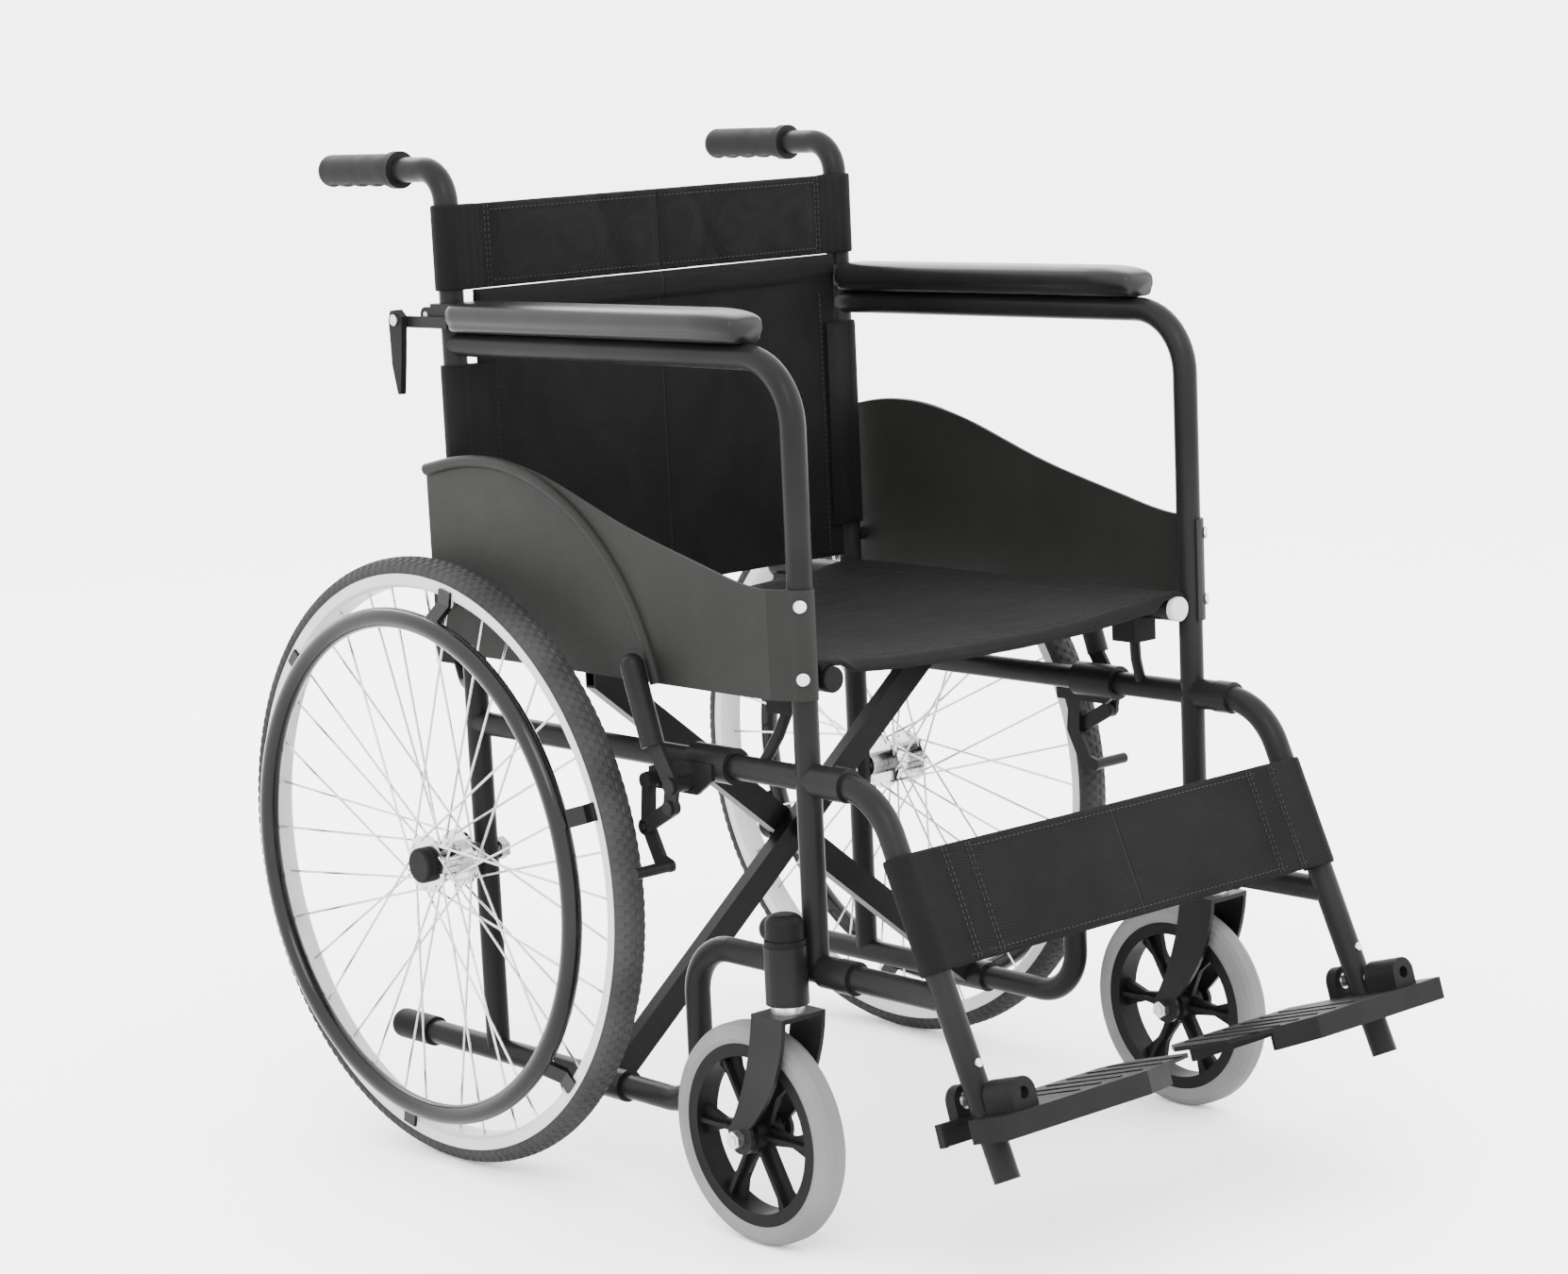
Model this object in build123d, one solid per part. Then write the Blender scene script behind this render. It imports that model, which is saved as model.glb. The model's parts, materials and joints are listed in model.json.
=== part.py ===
from build123d import *
import math
import os

# Folding steel wheelchair, millimetres. +Z up, the chair faces -Y, and +X is the
# occupant's left. Everything is drawn for the left side and mirrored to the right.

# ---- side frame --------------------------------------------------------------
FRAME_X = 232.0            # middle of the chair to the plane of a side frame
TUBE_D = 22.0
TUBE_WALL = 1.3
WELD_STEP = 0.15           # so that no two welded tubes share a surface
FRONT_Y = -440.0           # front upright
REAR_Y = 0.0               # rear upright, which carries the rear axle
ARM_Z = 734.0              # armrest tube
ARM_BEND_R = 55.0
MID_Z = 395.0              # middle rail
BASE_Z = 90.0              # bottom rail
TOE_Z = 236.0              # bottom rail after its step up to the caster
STEP_Y = -287.0            # upright run of that step
STEP_BEND_R = 45.0
TIPPER_END_Y = 152.0       # rear end of the bottom rail, rubber tip included
TIPPER_TIP_L = 56.0
TIPPER_TIP_D = 28.0
SOCKET_L = 30.0            # how far the frame's front sockets stand off the upright
SOCKET_D = 27.0
COLLAR_L = 18.0            # collar of the legrest tube against the socket
COLLAR_D = 28.5

# ---- cross brace and seat rails ------------------------------------------------
PIVOT_MID_Z = 278.0        # where the two arms cross
RAIL_X = 208.0             # seat rail, inboard of the uprights
RAIL_Z = 474.0
RAIL_FRONT_Y = -443.0
RAIL_REAR_Y = 74.0
ARM_H = 25.0               # rectangular tube of a cross arm
ARM_T = 13.0
ARM_WALL = 1.6
ARM_GAP = 2.0              # between the two arms
CROSS_Y = -154.5           # middle of the pair of arms
BASE_SLEEVE_D = 29.0
BASE_SLEEVE_L = 50.0
PIVOT_BOLT_D = 10.0
PIVOT_CAP_D = 30.0
SADDLE = 28.0              # side of a seat rail saddle, seen from above
SADDLE_Y = (-394.0, 58.0)
SADDLE_H = 27.0
RAIL_CAP_T = 7.0           # front cap of a rail
RAIL_PLUG_L = 14.0         # rounded plug at its rear end
STRUT_D = 10.0

# ---- soft parts ----------------------------------------------------------------
CLOTH = 4.0
SEAT_SAG = 12.0
SEAT_FRONT_Y = -447.0
SEAT_REAR_Y = -19.0
SEAT_SIDE = 218.0
BACK_FRONT_Y = -13.6
BACK_THICK = 8.0
BACK_SLEEVE_D = 27.0
PANEL_Z = (491.0, 780.7)
PANEL_SLEEVE_Z = (520.0, 716.0)
BAND_Z = (781.0, 855.0)
STRAP_Z = (256.0, 344.0)
STRAP_THICK = 3.0
HALF_GAP = 0.3             # each half stops this far from the middle

# ---- back joint, handles ---------------------------------------------------------
JOINT_Z = 760.0            # parting plane of the folding back
JOINT_PIVOT_Y = 23.0
JOINT_W = 26.0
GRIP_Z = 886.0
POST_BEND_R = 30.0
GRIP_Y = (63.0, 176.0)
GRIP_D = 29.0
LEVER_X = 19.0             # release lever, outboard of the post
LEVER_PIVOT_Y = 52.0
LEVER_T = 6.0

# ---- arm pad and side panel --------------------------------------------------------
PAD_Y = (-390.0, -18.0)
PAD_W = 50.0
PAD_H = 27.0
SKIRT_X = 250.0            # inner face of the side panel
SKIRT_T = 3.0
SKIRT_Z = 461.0            # its bottom edge
SKIRT_FRONT_Z = 551.0
SKIRT_REAR_Y = 26.0
RIB_CENTRE = (-56.0, 405.0)
RIB_R = 230.0
RIB_D = 11.0
LIP_T = 2.4
SCREW_D = 5.0
SCREW_HEAD_D = 11.0

# ---- rear wheel ----------------------------------------------------------------
WHEEL_R = 276.0
WHEEL_X = 284.0
TYRE_W = 30.0
TYRE_H = 15.0
RIM_W = 27.0
RIM_H = 13.0
HUB_FLANGE_R = 26.0
HUB_BARREL_R = 15.0
HUB_X = (261.0, 300.0)
HUB_CAP_R = 16.0
AXLE_D = 12.0
SPOKE_D = 2.2
SPOKES = 36
SPOKE_CROSS = 65.0         # how far round a spoke leans between hub and rim, degrees
HANDRIM_R = 225.0
HANDRIM_D = 18.0
HANDRIM_X = 314.5
HANDRIM_TABS = 6

# ---- caster ----------------------------------------------------------------------
CASTER_R = 95.0
CASTER_W = 27.0
CASTER_TYRE_H = 17.0
CASTER_SPOKES = 6
STEM_X = 28.4              # stem, outboard of the frame plane
STEM_Y = -434.0
TRAIL = 42.0
HOUSING_D = 36.0
HOUSING_Z = (213.0, 262.0)
STEM_D = 14.0
FORK_T = 4.0
FORK_GAP = 40.0
CROWN_Z = 206.0
CAP_H = 26.0

# ---- legrest -----------------------------------------------------------------------
HANGER_TILT = 24.0         # of the legrest tube from the vertical, degrees
HANGER_END = (-651.0, 100.0)
HANGER_BEND_R = 60.0
PLATE_TILT = 16.0
PLATE_PIVOT = (-623.0, 162.0)
PLATE_FRONT = 59.0         # from the legrest tube to the front edge, along the plate
PLATE_REAR = 54.0
PLATE_OUT = 35.0           # outboard of the legrest tube
PLATE_IN = 208.0           # inboard of it
PLATE_T = 4.0
PLATE_RIM_H = 19.0
LUG_R = 13.0
PLATE_PIN_D = 10.0

# ---- wheel lock ----------------------------------------------------------------------
LOCK_LEVER = (-311.0, 380.0)       # lever pivot
LOCK_ARM = (-271.0, 379.0)         # shoe arm pivot
LOCK_KNEE = (-307.0, 361.0)        # link on the lever
LOCK_ANKLE = (-267.0, 339.0)       # link on the shoe arm
LOCK_SHOE = (-293.0, 308.0)
LOCK_GRIP = ((-291.0, 412.0), (-269.0, 478.0))
LOCK_PLATE = 4.0
LOCK_ARM_X = 258.0
LOCK_LINK_X = 262.5
LOCK_LEVER_X = 266.0
LOCK_GRIP_D = 20.0

ORIGIN_Y = -207.0          # middle of the chair's length, which becomes Y = 0

FIT = 0.05                 # running clearance of a pin, on the radius
CLEAR = 0.3                # between soft or curved neighbours

AXLE_Z = WHEEL_R
TUBE_R = TUBE_D / 2
BORE_R = TUBE_R - TUBE_WALL
FOLD_ANGLE = math.degrees(math.atan2(PIVOT_MID_Z - BASE_Z, FRAME_X))


# ---- small tools ---------------------------------------------------------------------
def rod(radius, *points, bend=None):
    """A round bar along straight runs, with bends of one radius."""
    path = FilletPolyline(*points, radius=bend) if bend else Polyline(*points)
    section = Plane(origin=path @ 0, z_dir=path % 0) * Circle(radius)
    return sweep(section, path=path)


def disc(radius, centre, length, axis="X"):
    """A cylinder that starts at centre and runs along +axis."""
    turn = {"X": Rot(0, 90, 0), "Y": Rot(-90, 0, 0), "Z": Rot(0, 0, 0)}[axis]
    aligned = Cylinder(radius, length, align=(Align.CENTER, Align.CENTER, Align.MIN))
    return Pos(*centre) * turn * aligned


def block(x, y, z):
    """A box from three (low, high) pairs."""
    size = [high - low for low, high in (x, y, z)]
    middle = [(high + low) / 2 for low, high in (x, y, z)]
    return Pos(*middle) * Box(*size)


def plate_yz(points, x, thickness):
    """A flat plate of polygon outline in YZ, its inner face at x."""
    outline = Polyline(*[(x, y, z) for y, z in points], close=True)
    return extrude(make_face(outline), amount=thickness, dir=(1, 0, 0))


def strap_yz(a, b, width, x, thickness):
    """A round-ended flat link between two points of YZ."""
    ya, za = a
    yb, zb = b
    length = math.hypot(yb - ya, zb - za)
    turn = math.degrees(math.atan2(zb - za, yb - ya))
    bar = Pos(length / 2, 0, 0) * Box(length, width, thickness)
    ends = Cylinder(width / 2, thickness) + Pos(length, 0, 0) * Cylinder(width / 2, thickness)
    face_on = Plane(origin=(x + thickness / 2, ya, za), x_dir=(0, 1, 0), z_dir=(1, 0, 0))
    return face_on * Rot(0, 0, turn) * (bar + ends)


def ring(outline, centre):
    """A solid of revolution about the X axis through centre, from (x, radius) points."""
    cx, cy, cz = centre
    face = make_face(Polyline(*[(x, cy, cz + r) for x, r in outline], close=True))
    return revolve(face, axis=Axis((cx, cy, cz), (1, 0, 0)))


def save(name, shape):
    export_step(Pos(0, -ORIGIN_Y, 0) * shape, f"parts/{name}.step")


def save_pair(name, left):
    save(f"{name}_left", left)
    save(f"{name}_right", mirror(left, about=Plane.YZ))


# ---- side frame ------------------------------------------------------------------------
def frame_tubes(radius):
    """The welded tubes of one side; each is a hair thinner than the one it meets."""
    x = FRAME_X
    socket_y = FRONT_Y - SOCKET_L
    base = rod(
        radius,
        (x, TIPPER_END_Y - 10, BASE_Z),
        (x, STEP_Y, BASE_Z),
        (x, STEP_Y, TOE_Z),
        (x, socket_y, TOE_Z),
        bend=STEP_BEND_R,
    )
    upright = rod(radius - WELD_STEP, (x, REAR_Y, BASE_Z), (x, REAR_Y, JOINT_Z - 10))
    hoop_path = ((x, FRONT_Y, TOE_Z), (x, FRONT_Y, ARM_Z), (x, REAR_Y, ARM_Z))
    hoop = rod(radius - 2 * WELD_STEP, *hoop_path, bend=ARM_BEND_R)
    middle = rod(radius - 3 * WELD_STEP, (x, REAR_Y, MID_Z), (x, socket_y, MID_Z))
    return base + upright + hoop + middle


def back_joint_lower():
    """Cap of the rear upright: parting face, centre knuckle, and the arm of the release lever."""
    x, y, z = FRAME_X, REAR_Y, JOINT_Z
    half = JOINT_W / 2
    cap = block((x - half, x + half), (y - 17, y + 15), (z - 10, z))
    knuckle = disc(7, (x - 5, JOINT_PIVOT_Y, z), 10)
    web = block((x - 5, x + 5), (y + 10, JOINT_PIVOT_Y), (z - 7, z - 0.2))
    ears = disc(7 + CLEAR, (x + 5, JOINT_PIVOT_Y, z), half) + disc(7 + CLEAR, (x - 5 - half, JOINT_PIVOT_Y, z), half)
    arm_x = (x + half, x + LEVER_X - 1)
    arm = block(arm_x, (y - 14, LEVER_PIVOT_Y + 6), (z - 11, z - 1))
    joint = (cap - ears) + web + knuckle + arm
    return joint - disc(3, (x - half - 1, JOINT_PIVOT_Y, z), JOINT_W + 2)


def saddle_strut(y):
    """Bent bar that carries a seat rail saddle: off the middle rail in front, the upright behind."""
    foot = (FRAME_X - 4, y + 12, MID_Z + 6) if y < 0 else (FRAME_X - 4, REAR_Y + 6, MID_Z + 24)
    elbow = (RAIL_X + 8, y + 6, MID_Z + 28) if y < 0 else (RAIL_X + 4, y - 14, MID_Z + 30)
    return rod(STRUT_D / 2, foot, elbow, (RAIL_X, y, RAIL_Z - SADDLE_H), bend=8)


def side_frame():
    x = FRAME_X
    bosses = disc(HOUSING_D / 2, (x + STEM_X, STEM_Y, HOUSING_Z[0]), HOUSING_Z[1] - HOUSING_Z[0], "Z")
    for z in (MID_Z, TOE_Z):
        bosses += disc(SOCKET_D / 2, (x, FRONT_Y - SOCKET_L, z), SOCKET_L - TUBE_R + 1, "Y")
    bosses += disc(6, (x + TUBE_R - 1, REAR_Y, 507), SKIRT_X - x - TUBE_R + 1)
    for y in SADDLE_Y:
        bosses += saddle_strut(y)
    frame = frame_tubes(TUBE_R) + bosses - frame_tubes(BORE_R)
    frame += back_joint_lower()
    frame -= disc(STEM_D / 2 + FIT, (x + STEM_X, STEM_Y, HOUSING_Z[0] - 1), 60, "Z")
    frame -= disc(AXLE_D / 2, (x - 20, REAR_Y, AXLE_Z), 40)
    frame -= disc(SCREW_D / 2, (x, REAR_Y, 507), 30)
    for z in SCREW_Z:
        frame -= lip_screw(z, SCREW_D / 2, None)
    for y in SADDLE_Y:
        frame -= saddle_block(y)
    frame -= hanger_core()
    return frame


def saddle_block(y):
    top = RAIL_Z - 5
    body = block((RAIL_X - 14, RAIL_X + 13), (y - 14, y + 14), (top - SADDLE_H, top))
    groove = disc(TUBE_R + CLEAR, (RAIL_X, y - 20, RAIL_Z), 40, "Y")
    return body - groove


def caster_cap():
    x, y, z = FRAME_X + STEM_X, STEM_Y, HOUSING_Z[1]
    flange = disc(HOUSING_D / 2 - 0.5, (x, y, z), 5, "Z")
    drum = disc(HOUSING_D / 2 - 2, (x, y, z), CAP_H, "Z")
    drum = fillet(drum.edges().group_by(Axis.Z)[-1], 9)
    hollow = disc(STEM_D / 2 + 3, (x, y, z), 12, "Z")
    return flange + drum - hollow


def end_caps():
    """Moulded parts pressed on the frame: tipper tip, caster cap, seat rail saddles."""
    x = FRAME_X
    tip = disc(TIPPER_TIP_D / 2, (x, TIPPER_END_Y - TIPPER_TIP_L, BASE_Z), TIPPER_TIP_L, "Y")
    tip = fillet(tip.edges().group_by(Axis.Y)[-1], 8)
    tip -= disc(TUBE_R, (x, TIPPER_END_Y - TIPPER_TIP_L, BASE_Z), TIPPER_TIP_L - 10, "Y")
    saddles = [saddle_block(y) for y in SADDLE_Y]
    return Compound([tip, caster_cap(), *saddles])


# ---- arm pad and side panel -------------------------------------------------------------------
def arm_pad():
    """Rounded cushion on a narrower tray, its front end tapered."""
    y0, y1 = PAD_Y
    z = ARM_Z + TUBE_R
    half = PAD_W / 2
    nose = 34.0
    outline = make_face(
        Polyline(
            (half, y1),
            (half, y0 + nose),
            (half - 9, y0),
            (9 - half, y0),
            (-half, y0 + nose),
            (-half, y1),
            close=True,
        )
    )
    tray = extrude(Pos(FRAME_X, 0, z) * scale(outline, by=(0.88, 0.985, 1)), amount=8)
    cushion = extrude(Pos(FRAME_X, 0, z + 8) * outline, amount=PAD_H - 8)
    cushion = fillet(cushion.edges().group_by(Axis.Z)[-1], 7)
    return tray + cushion - disc(SCREW_D / 2, (FRAME_X, (y0 + y1) / 2, z - 1), 12, "Z")


SCREW_Z = (479.0, 538.0)


def lip_screw(z, radius, head):
    """A screw driven into the front upright from its front outboard side."""
    aim = Plane(origin=(FRAME_X, FRONT_Y, z), x_dir=(0, 0, 1), z_dir=(1, -1, 0))
    shank = aim * Pos(0, 0, 4) * Cylinder(radius, TUBE_R + LIP_T - 4, align=(Align.CENTER, Align.CENTER, Align.MIN))
    if head is None:
        return shank
    top = aim * Pos(0, 0, TUBE_R + LIP_T) * Cylinder(head, 3, align=(Align.CENTER, Align.CENTER, Align.MIN))
    top = fillet(top.edges().sort_by(lambda e: (e @ 0.5 - Vector(FRAME_X, FRONT_Y, z)).length)[-1], 1.8)
    return shank + top


def skirt_lip():
    """Edge of the panel that wraps the front upright, drawn in plan."""
    outer = TUBE_R + LIP_T
    centre = Pos(FRAME_X, FRONT_Y)
    sector_pts = [(0, 0), (-12, -40), (60, -60), (60, 16), (14, 8)]
    sector = centre * make_face(Polyline(*sector_pts, close=True))
    wrap = centre * (Circle(outer) - Circle(TUBE_R)) & sector
    step = make_face(
        Polyline(
            (FRAME_X + TUBE_R + 0.9, FRONT_Y + 6),
            (FRAME_X + outer, FRONT_Y - 1),
            (SKIRT_X + SKIRT_T, FRONT_Y + 18),
            (SKIRT_X + SKIRT_T, FRONT_Y + 26),
            (SKIRT_X, FRONT_Y + 26),
            (SKIRT_X, FRONT_Y + 20),
            close=True,
        )
    )
    plan = wrap + (step - centre * Circle(TUBE_R))
    return extrude(Pos(0, 0, SKIRT_Z) * plan, amount=SKIRT_FRONT_Z - SKIRT_Z)


def side_panel():
    """Moulded skirt guard: a flat sheet with a sweeping top edge and a raised wheel-arch rib."""
    top = Spline(
        (SKIRT_X, FRONT_Y + 26, SKIRT_FRONT_Z),
        (SKIRT_X, -351, 563),
        (SKIRT_X, -233, 595),
        (SKIRT_X, -124, 631),
        (SKIRT_X, -50, 639),
        (SKIRT_X, SKIRT_REAR_Y, 629),
        tangents=[(0, 1, 0.05), (0, 1, -0.15)],
    )
    rest = Polyline(
        top @ 1,
        (SKIRT_X, SKIRT_REAR_Y, SKIRT_Z),
        (SKIRT_X, FRONT_Y + 26, SKIRT_Z),
        top @ 0,
    )
    sheet = extrude(make_face(top + rest), amount=SKIRT_T, dir=(1, 0, 0))
    cy, cz = RIB_CENTRE
    face = SKIRT_X + SKIRT_T
    start = math.radians(166)
    arch = ThreePointArc(
        (face, cy + RIB_R * math.cos(start), cz + RIB_R * math.sin(start)),
        (face, cy + RIB_R * math.cos(math.radians(130)), cz + RIB_R * math.sin(math.radians(130))),
        (face, cy + 4, cz + RIB_R),
    )
    crest = Spline(arch @ 1, (face, SKIRT_REAR_Y - 1, 624), tangents=[(0, 1, 0), (0, 1, -0.2)])
    path = arch + crest
    rib = sweep(Plane(origin=path @ 0, z_dir=path % 0) * Circle(RIB_D / 2), path=path)
    rib &= block((SKIRT_X, face + RIB_D), (-400, 100), (400, 700))
    panel = sheet + rib + skirt_lip()
    panel -= disc(SCREW_D / 2, (SKIRT_X - 1, REAR_Y, 507), 10)
    for z in SCREW_Z:
        panel -= lip_screw(z, SCREW_D / 2, None)
    return panel


def frame_screws():
    """Panel and pad screws, back hinge pin, lever pin, and the legrest height buttons."""
    x = FRAME_X
    parts = [lip_screw(z, SCREW_D / 2, SCREW_HEAD_D / 2) for z in SCREW_Z]
    skirt = disc(SCREW_D / 2, (x + 6, REAR_Y, 507), SKIRT_X + SKIRT_T - x - 6)
    skirt += disc(SCREW_HEAD_D / 2, (SKIRT_X + SKIRT_T, REAR_Y, 507), 2.5)
    pad = disc(SCREW_D / 2, (x, sum(PAD_Y) / 2, ARM_Z + TUBE_R), 11, "Z")
    hinge = disc(3, (x - JOINT_W / 2 - 2, JOINT_PIVOT_Y, JOINT_Z), JOINT_W + 2)
    lever = disc(3, (x + LEVER_X - 1, LEVER_PIVOT_Y, JOINT_Z - 4), LEVER_T + 2.4)
    lever += disc(5, (x + LEVER_X + LEVER_T + 0.4, LEVER_PIVOT_Y, JOINT_Z - 4), 2)
    return Compound([*parts, skirt, pad, hinge, lever, height_button(), footplate_pin()])


# ---- legrest ---------------------------------------------------------------------------------------
def hanger_point(z):
    """Y of the legrest tube's axis at a height."""
    return HANGER_END[0] + (z - HANGER_END[1]) * math.tan(math.radians(HANGER_TILT))


def hanger_core():
    """The legrest tubes' ends inside the frame's sockets."""
    x = FRAME_X
    back = FRONT_Y + TUBE_R + 2
    plug = disc(BORE_R, (x, FRONT_Y - SOCKET_L, MID_Z), back - FRONT_Y + SOCKET_L, "Y")
    return plug + disc(BORE_R, (x, FRONT_Y - SOCKET_L, TOE_Z), back - FRONT_Y + SOCKET_L, "Y")


def height_button():
    """Spring button that holds the footplate tube at its height."""
    z = 186.0
    y = hanger_point(z)
    tilt = math.radians(HANGER_TILT)
    aim = Plane(origin=(FRAME_X, y, z), x_dir=(1, 0, 0), z_dir=(0, -math.cos(tilt), math.sin(tilt)))
    pin = aim * Pos(0, 0, TUBE_R - 3) * Cylinder(3.5, 4.5, align=(Align.CENTER, Align.CENTER, Align.MIN))
    return pin


def hanger():
    x = FRAME_X
    start = FRONT_Y - SOCKET_L
    knee = hanger_point(MID_Z)
    knee_pts = ((x, start, MID_Z), (x, knee, MID_Z), (x, *HANGER_END))
    brace_pts = ((x, start, TOE_Z), (x, hanger_point(TOE_Z), TOE_Z))
    tubes = rod(TUBE_R, *knee_pts, bend=HANGER_BEND_R) + rod(TUBE_R, *brace_pts)
    bores = rod(BORE_R, *knee_pts, bend=HANGER_BEND_R) + rod(BORE_R, *brace_pts)
    legrest = tubes - bores
    for z in (MID_Z, TOE_Z):
        collar = disc(COLLAR_D / 2, (x, start - COLLAR_L, z), COLLAR_L, "Y")
        legrest += collar - disc(TUBE_R - 0.5, (x, start - COLLAR_L, z), COLLAR_L, "Y")
        spigot = disc(BORE_R, (x, start - 10, z), SOCKET_L + TUBE_R + 10, "Y")
        legrest += spigot - disc(BORE_R - TUBE_WALL, (x, start - 10, z), 60, "Y")
    legrest -= height_button()
    legrest -= on_plate(disc(PLATE_PIN_D / 2 + FIT, (0, -30, 0), 60, "Y"))
    return legrest


def on_plate(shape):
    """Place a shape drawn about the footplate's pivot, X outboard and -Y forward."""
    return Pos(FRAME_X, *PLATE_PIVOT) * Rot(-PLATE_TILT, 0, 0) * shape


def footplate_pin():
    """Fore-and-aft pin through the legrest tube that a footplate swings on."""
    shank = disc(PLATE_PIN_D / 2, (0, 16 - PLATE_FRONT, 0), PLATE_FRONT + PLATE_REAR - 54, "Y")
    head = disc(PLATE_PIN_D / 2 + 2, (0, PLATE_REAR - 38, 0), 4, "Y")
    return on_plate(shank + head)


def footplate():
    """Moulded plate with a turned-down rim, on two lugs that straddle the legrest tube."""
    drop = -TUBE_R - 1.2 - PLATE_T
    front, rear = -PLATE_FRONT, PLATE_REAR
    outline = Polyline(
        (PLATE_OUT, front),
        (-128, front),
        (-PLATE_IN, front + 30),
        (-PLATE_IN, rear - 22),
        (-PLATE_IN + 20, rear),
        (-34, rear),
        (-20, rear - 34),
        (PLATE_OUT, rear - 34),
        close=True,
    )
    deck = make_face(outline)
    tray = extrude(Pos(0, 0, drop + PLATE_T) * deck, amount=-PLATE_RIM_H)
    tray -= extrude(Pos(0, 0, drop) * offset(deck, -3.5), amount=-PLATE_RIM_H)
    tray -= block((-PLATE_IN - 1, -PLATE_IN + 40), (front - 1, rear + 1), (drop - PLATE_RIM_H, drop))
    front_lug = disc(LUG_R, (0, front + 8, 0), 33, "Y")
    front_lug += block((-LUG_R, LUG_R), (front + 8, front + 41), (drop, 0))
    rear_lug = disc(LUG_R, (0, 15, 0), 11, "Y")
    rear_lug += block((-LUG_R, LUG_R), (15, 26), (drop, 0))
    plate = tray + front_lug + rear_lug
    for x in range(-184, -40, 24):
        plate += block((x - 1.5, x + 1.5), (front + 14, rear - 14), (drop + PLATE_T - 0.5, drop + PLATE_T + 0.9))
    plate -= disc(PLATE_PIN_D / 2 + FIT, (0, front - 5, 0), PLATE_FRONT + PLATE_REAR, "Y")
    plate -= disc(PLATE_PIN_D / 2 + 2 + FIT, (0, PLATE_REAR - 38 - 1, 0), 30, "Y")
    tube_slot = Rot(PLATE_TILT, 0, 0) * Rot(-HANGER_TILT, 0, 0)
    passage = tube_slot * Cylinder(TUBE_R + 1.2, 160)
    # the tube's lower end swings out through the outboard edge as the plate turns up
    swing = block((-TUBE_R - 2, PLATE_OUT + 1), (-19, TUBE_R + 2), (-60, drop + PLATE_T + 2))
    return on_plate(plate - passage - swing)


# ---- rear wheel ----------------------------------------------------------------------------------------
WHEEL_AT = (WHEEL_X, REAR_Y, AXLE_Z)
RIM_OUT_R = WHEEL_R - TYRE_H + 1
RIM_IN_R = RIM_OUT_R - RIM_H


def rear_tyre():
    x, r, half = WHEEL_X, WHEEL_R, TYRE_W / 2
    seat = RIM_OUT_R - 8
    face = make_face(
        Spline(
            (x - 10, REAR_Y, AXLE_Z + seat),
            (x - half, REAR_Y, AXLE_Z + r - TYRE_H * 0.62),
            (x, REAR_Y, AXLE_Z + r),
            (x + half, REAR_Y, AXLE_Z + r - TYRE_H * 0.62),
            (x + 10, REAR_Y, AXLE_Z + seat),
        )
        + Line((x + 10, REAR_Y, AXLE_Z + seat), (x - 10, REAR_Y, AXLE_Z + seat))
    )
    tyre = revolve(face, axis=Axis(WHEEL_AT, (1, 0, 0)))
    return tyre - rear_rim()


def rear_rim():
    x, half, wall = WHEEL_X, RIM_W / 2, 2.2
    out, inn = RIM_OUT_R, RIM_IN_R
    return ring(
        [
            (x - half, out),
            (x - half + wall, out),
            (x - half + wall, inn + 4.5),
            (x + half - wall, inn + 4.5),
            (x + half - wall, out),
            (x + half, out),
            (x + half, inn + 3),
            (x + half - 3, inn),
            (x - half + 3, inn),
            (x - half, inn + 3),
        ],
        WHEEL_AT,
    )


def spoke(index):
    """One wire: leaning forward or back by turns, and from each flange in turn."""
    flange = HUB_X[0] + 2 if index % 2 else HUB_X[1] - 2
    lean = 1 if (index // 2) % 2 else -1
    out = 1.8 if lean > 0 else -1.8
    at_rim = math.radians(360 / SPOKES * index)
    at_hub = at_rim - lean * math.radians(SPOKE_CROSS)
    r_hub, r_rim = HUB_FLANGE_R - 4, RIM_IN_R + 1.5
    rim_x = WHEEL_X + (2.5 if index % 2 == 0 else -2.5)
    start = (flange + out, REAR_Y + r_hub * math.cos(at_hub), AXLE_Z + r_hub * math.sin(at_hub))
    end = (rim_x, REAR_Y + r_rim * math.cos(at_rim), AXLE_Z + r_rim * math.sin(at_rim))
    return rod(SPOKE_D / 2, start, end)


def hub_and_spokes():
    low, high = HUB_X
    hub = disc(HUB_BARREL_R, (low, REAR_Y, AXLE_Z), high - low)
    hub += disc(HUB_FLANGE_R, (low, REAR_Y, AXLE_Z), 4) + disc(HUB_FLANGE_R, (high - 4, REAR_Y, AXLE_Z), 4)
    hub -= disc(AXLE_D / 2 + FIT, (low - 1, REAR_Y, AXLE_Z), high - low + 2)
    rim = rear_rim()
    spokes = [spoke(i) - rim for i in range(SPOKES)]
    return Compound([hub, *[s - hub for s in spokes]])


def hub_cap():
    cap = disc(HUB_CAP_R, (HUB_X[1], REAR_Y, AXLE_Z), 9)
    cap = fillet(cap.edges().group_by(Axis.X)[-1], 3)
    return cap - disc(AXLE_D / 2 + 4, (HUB_X[1], REAR_Y, AXLE_Z), 6)


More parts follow.
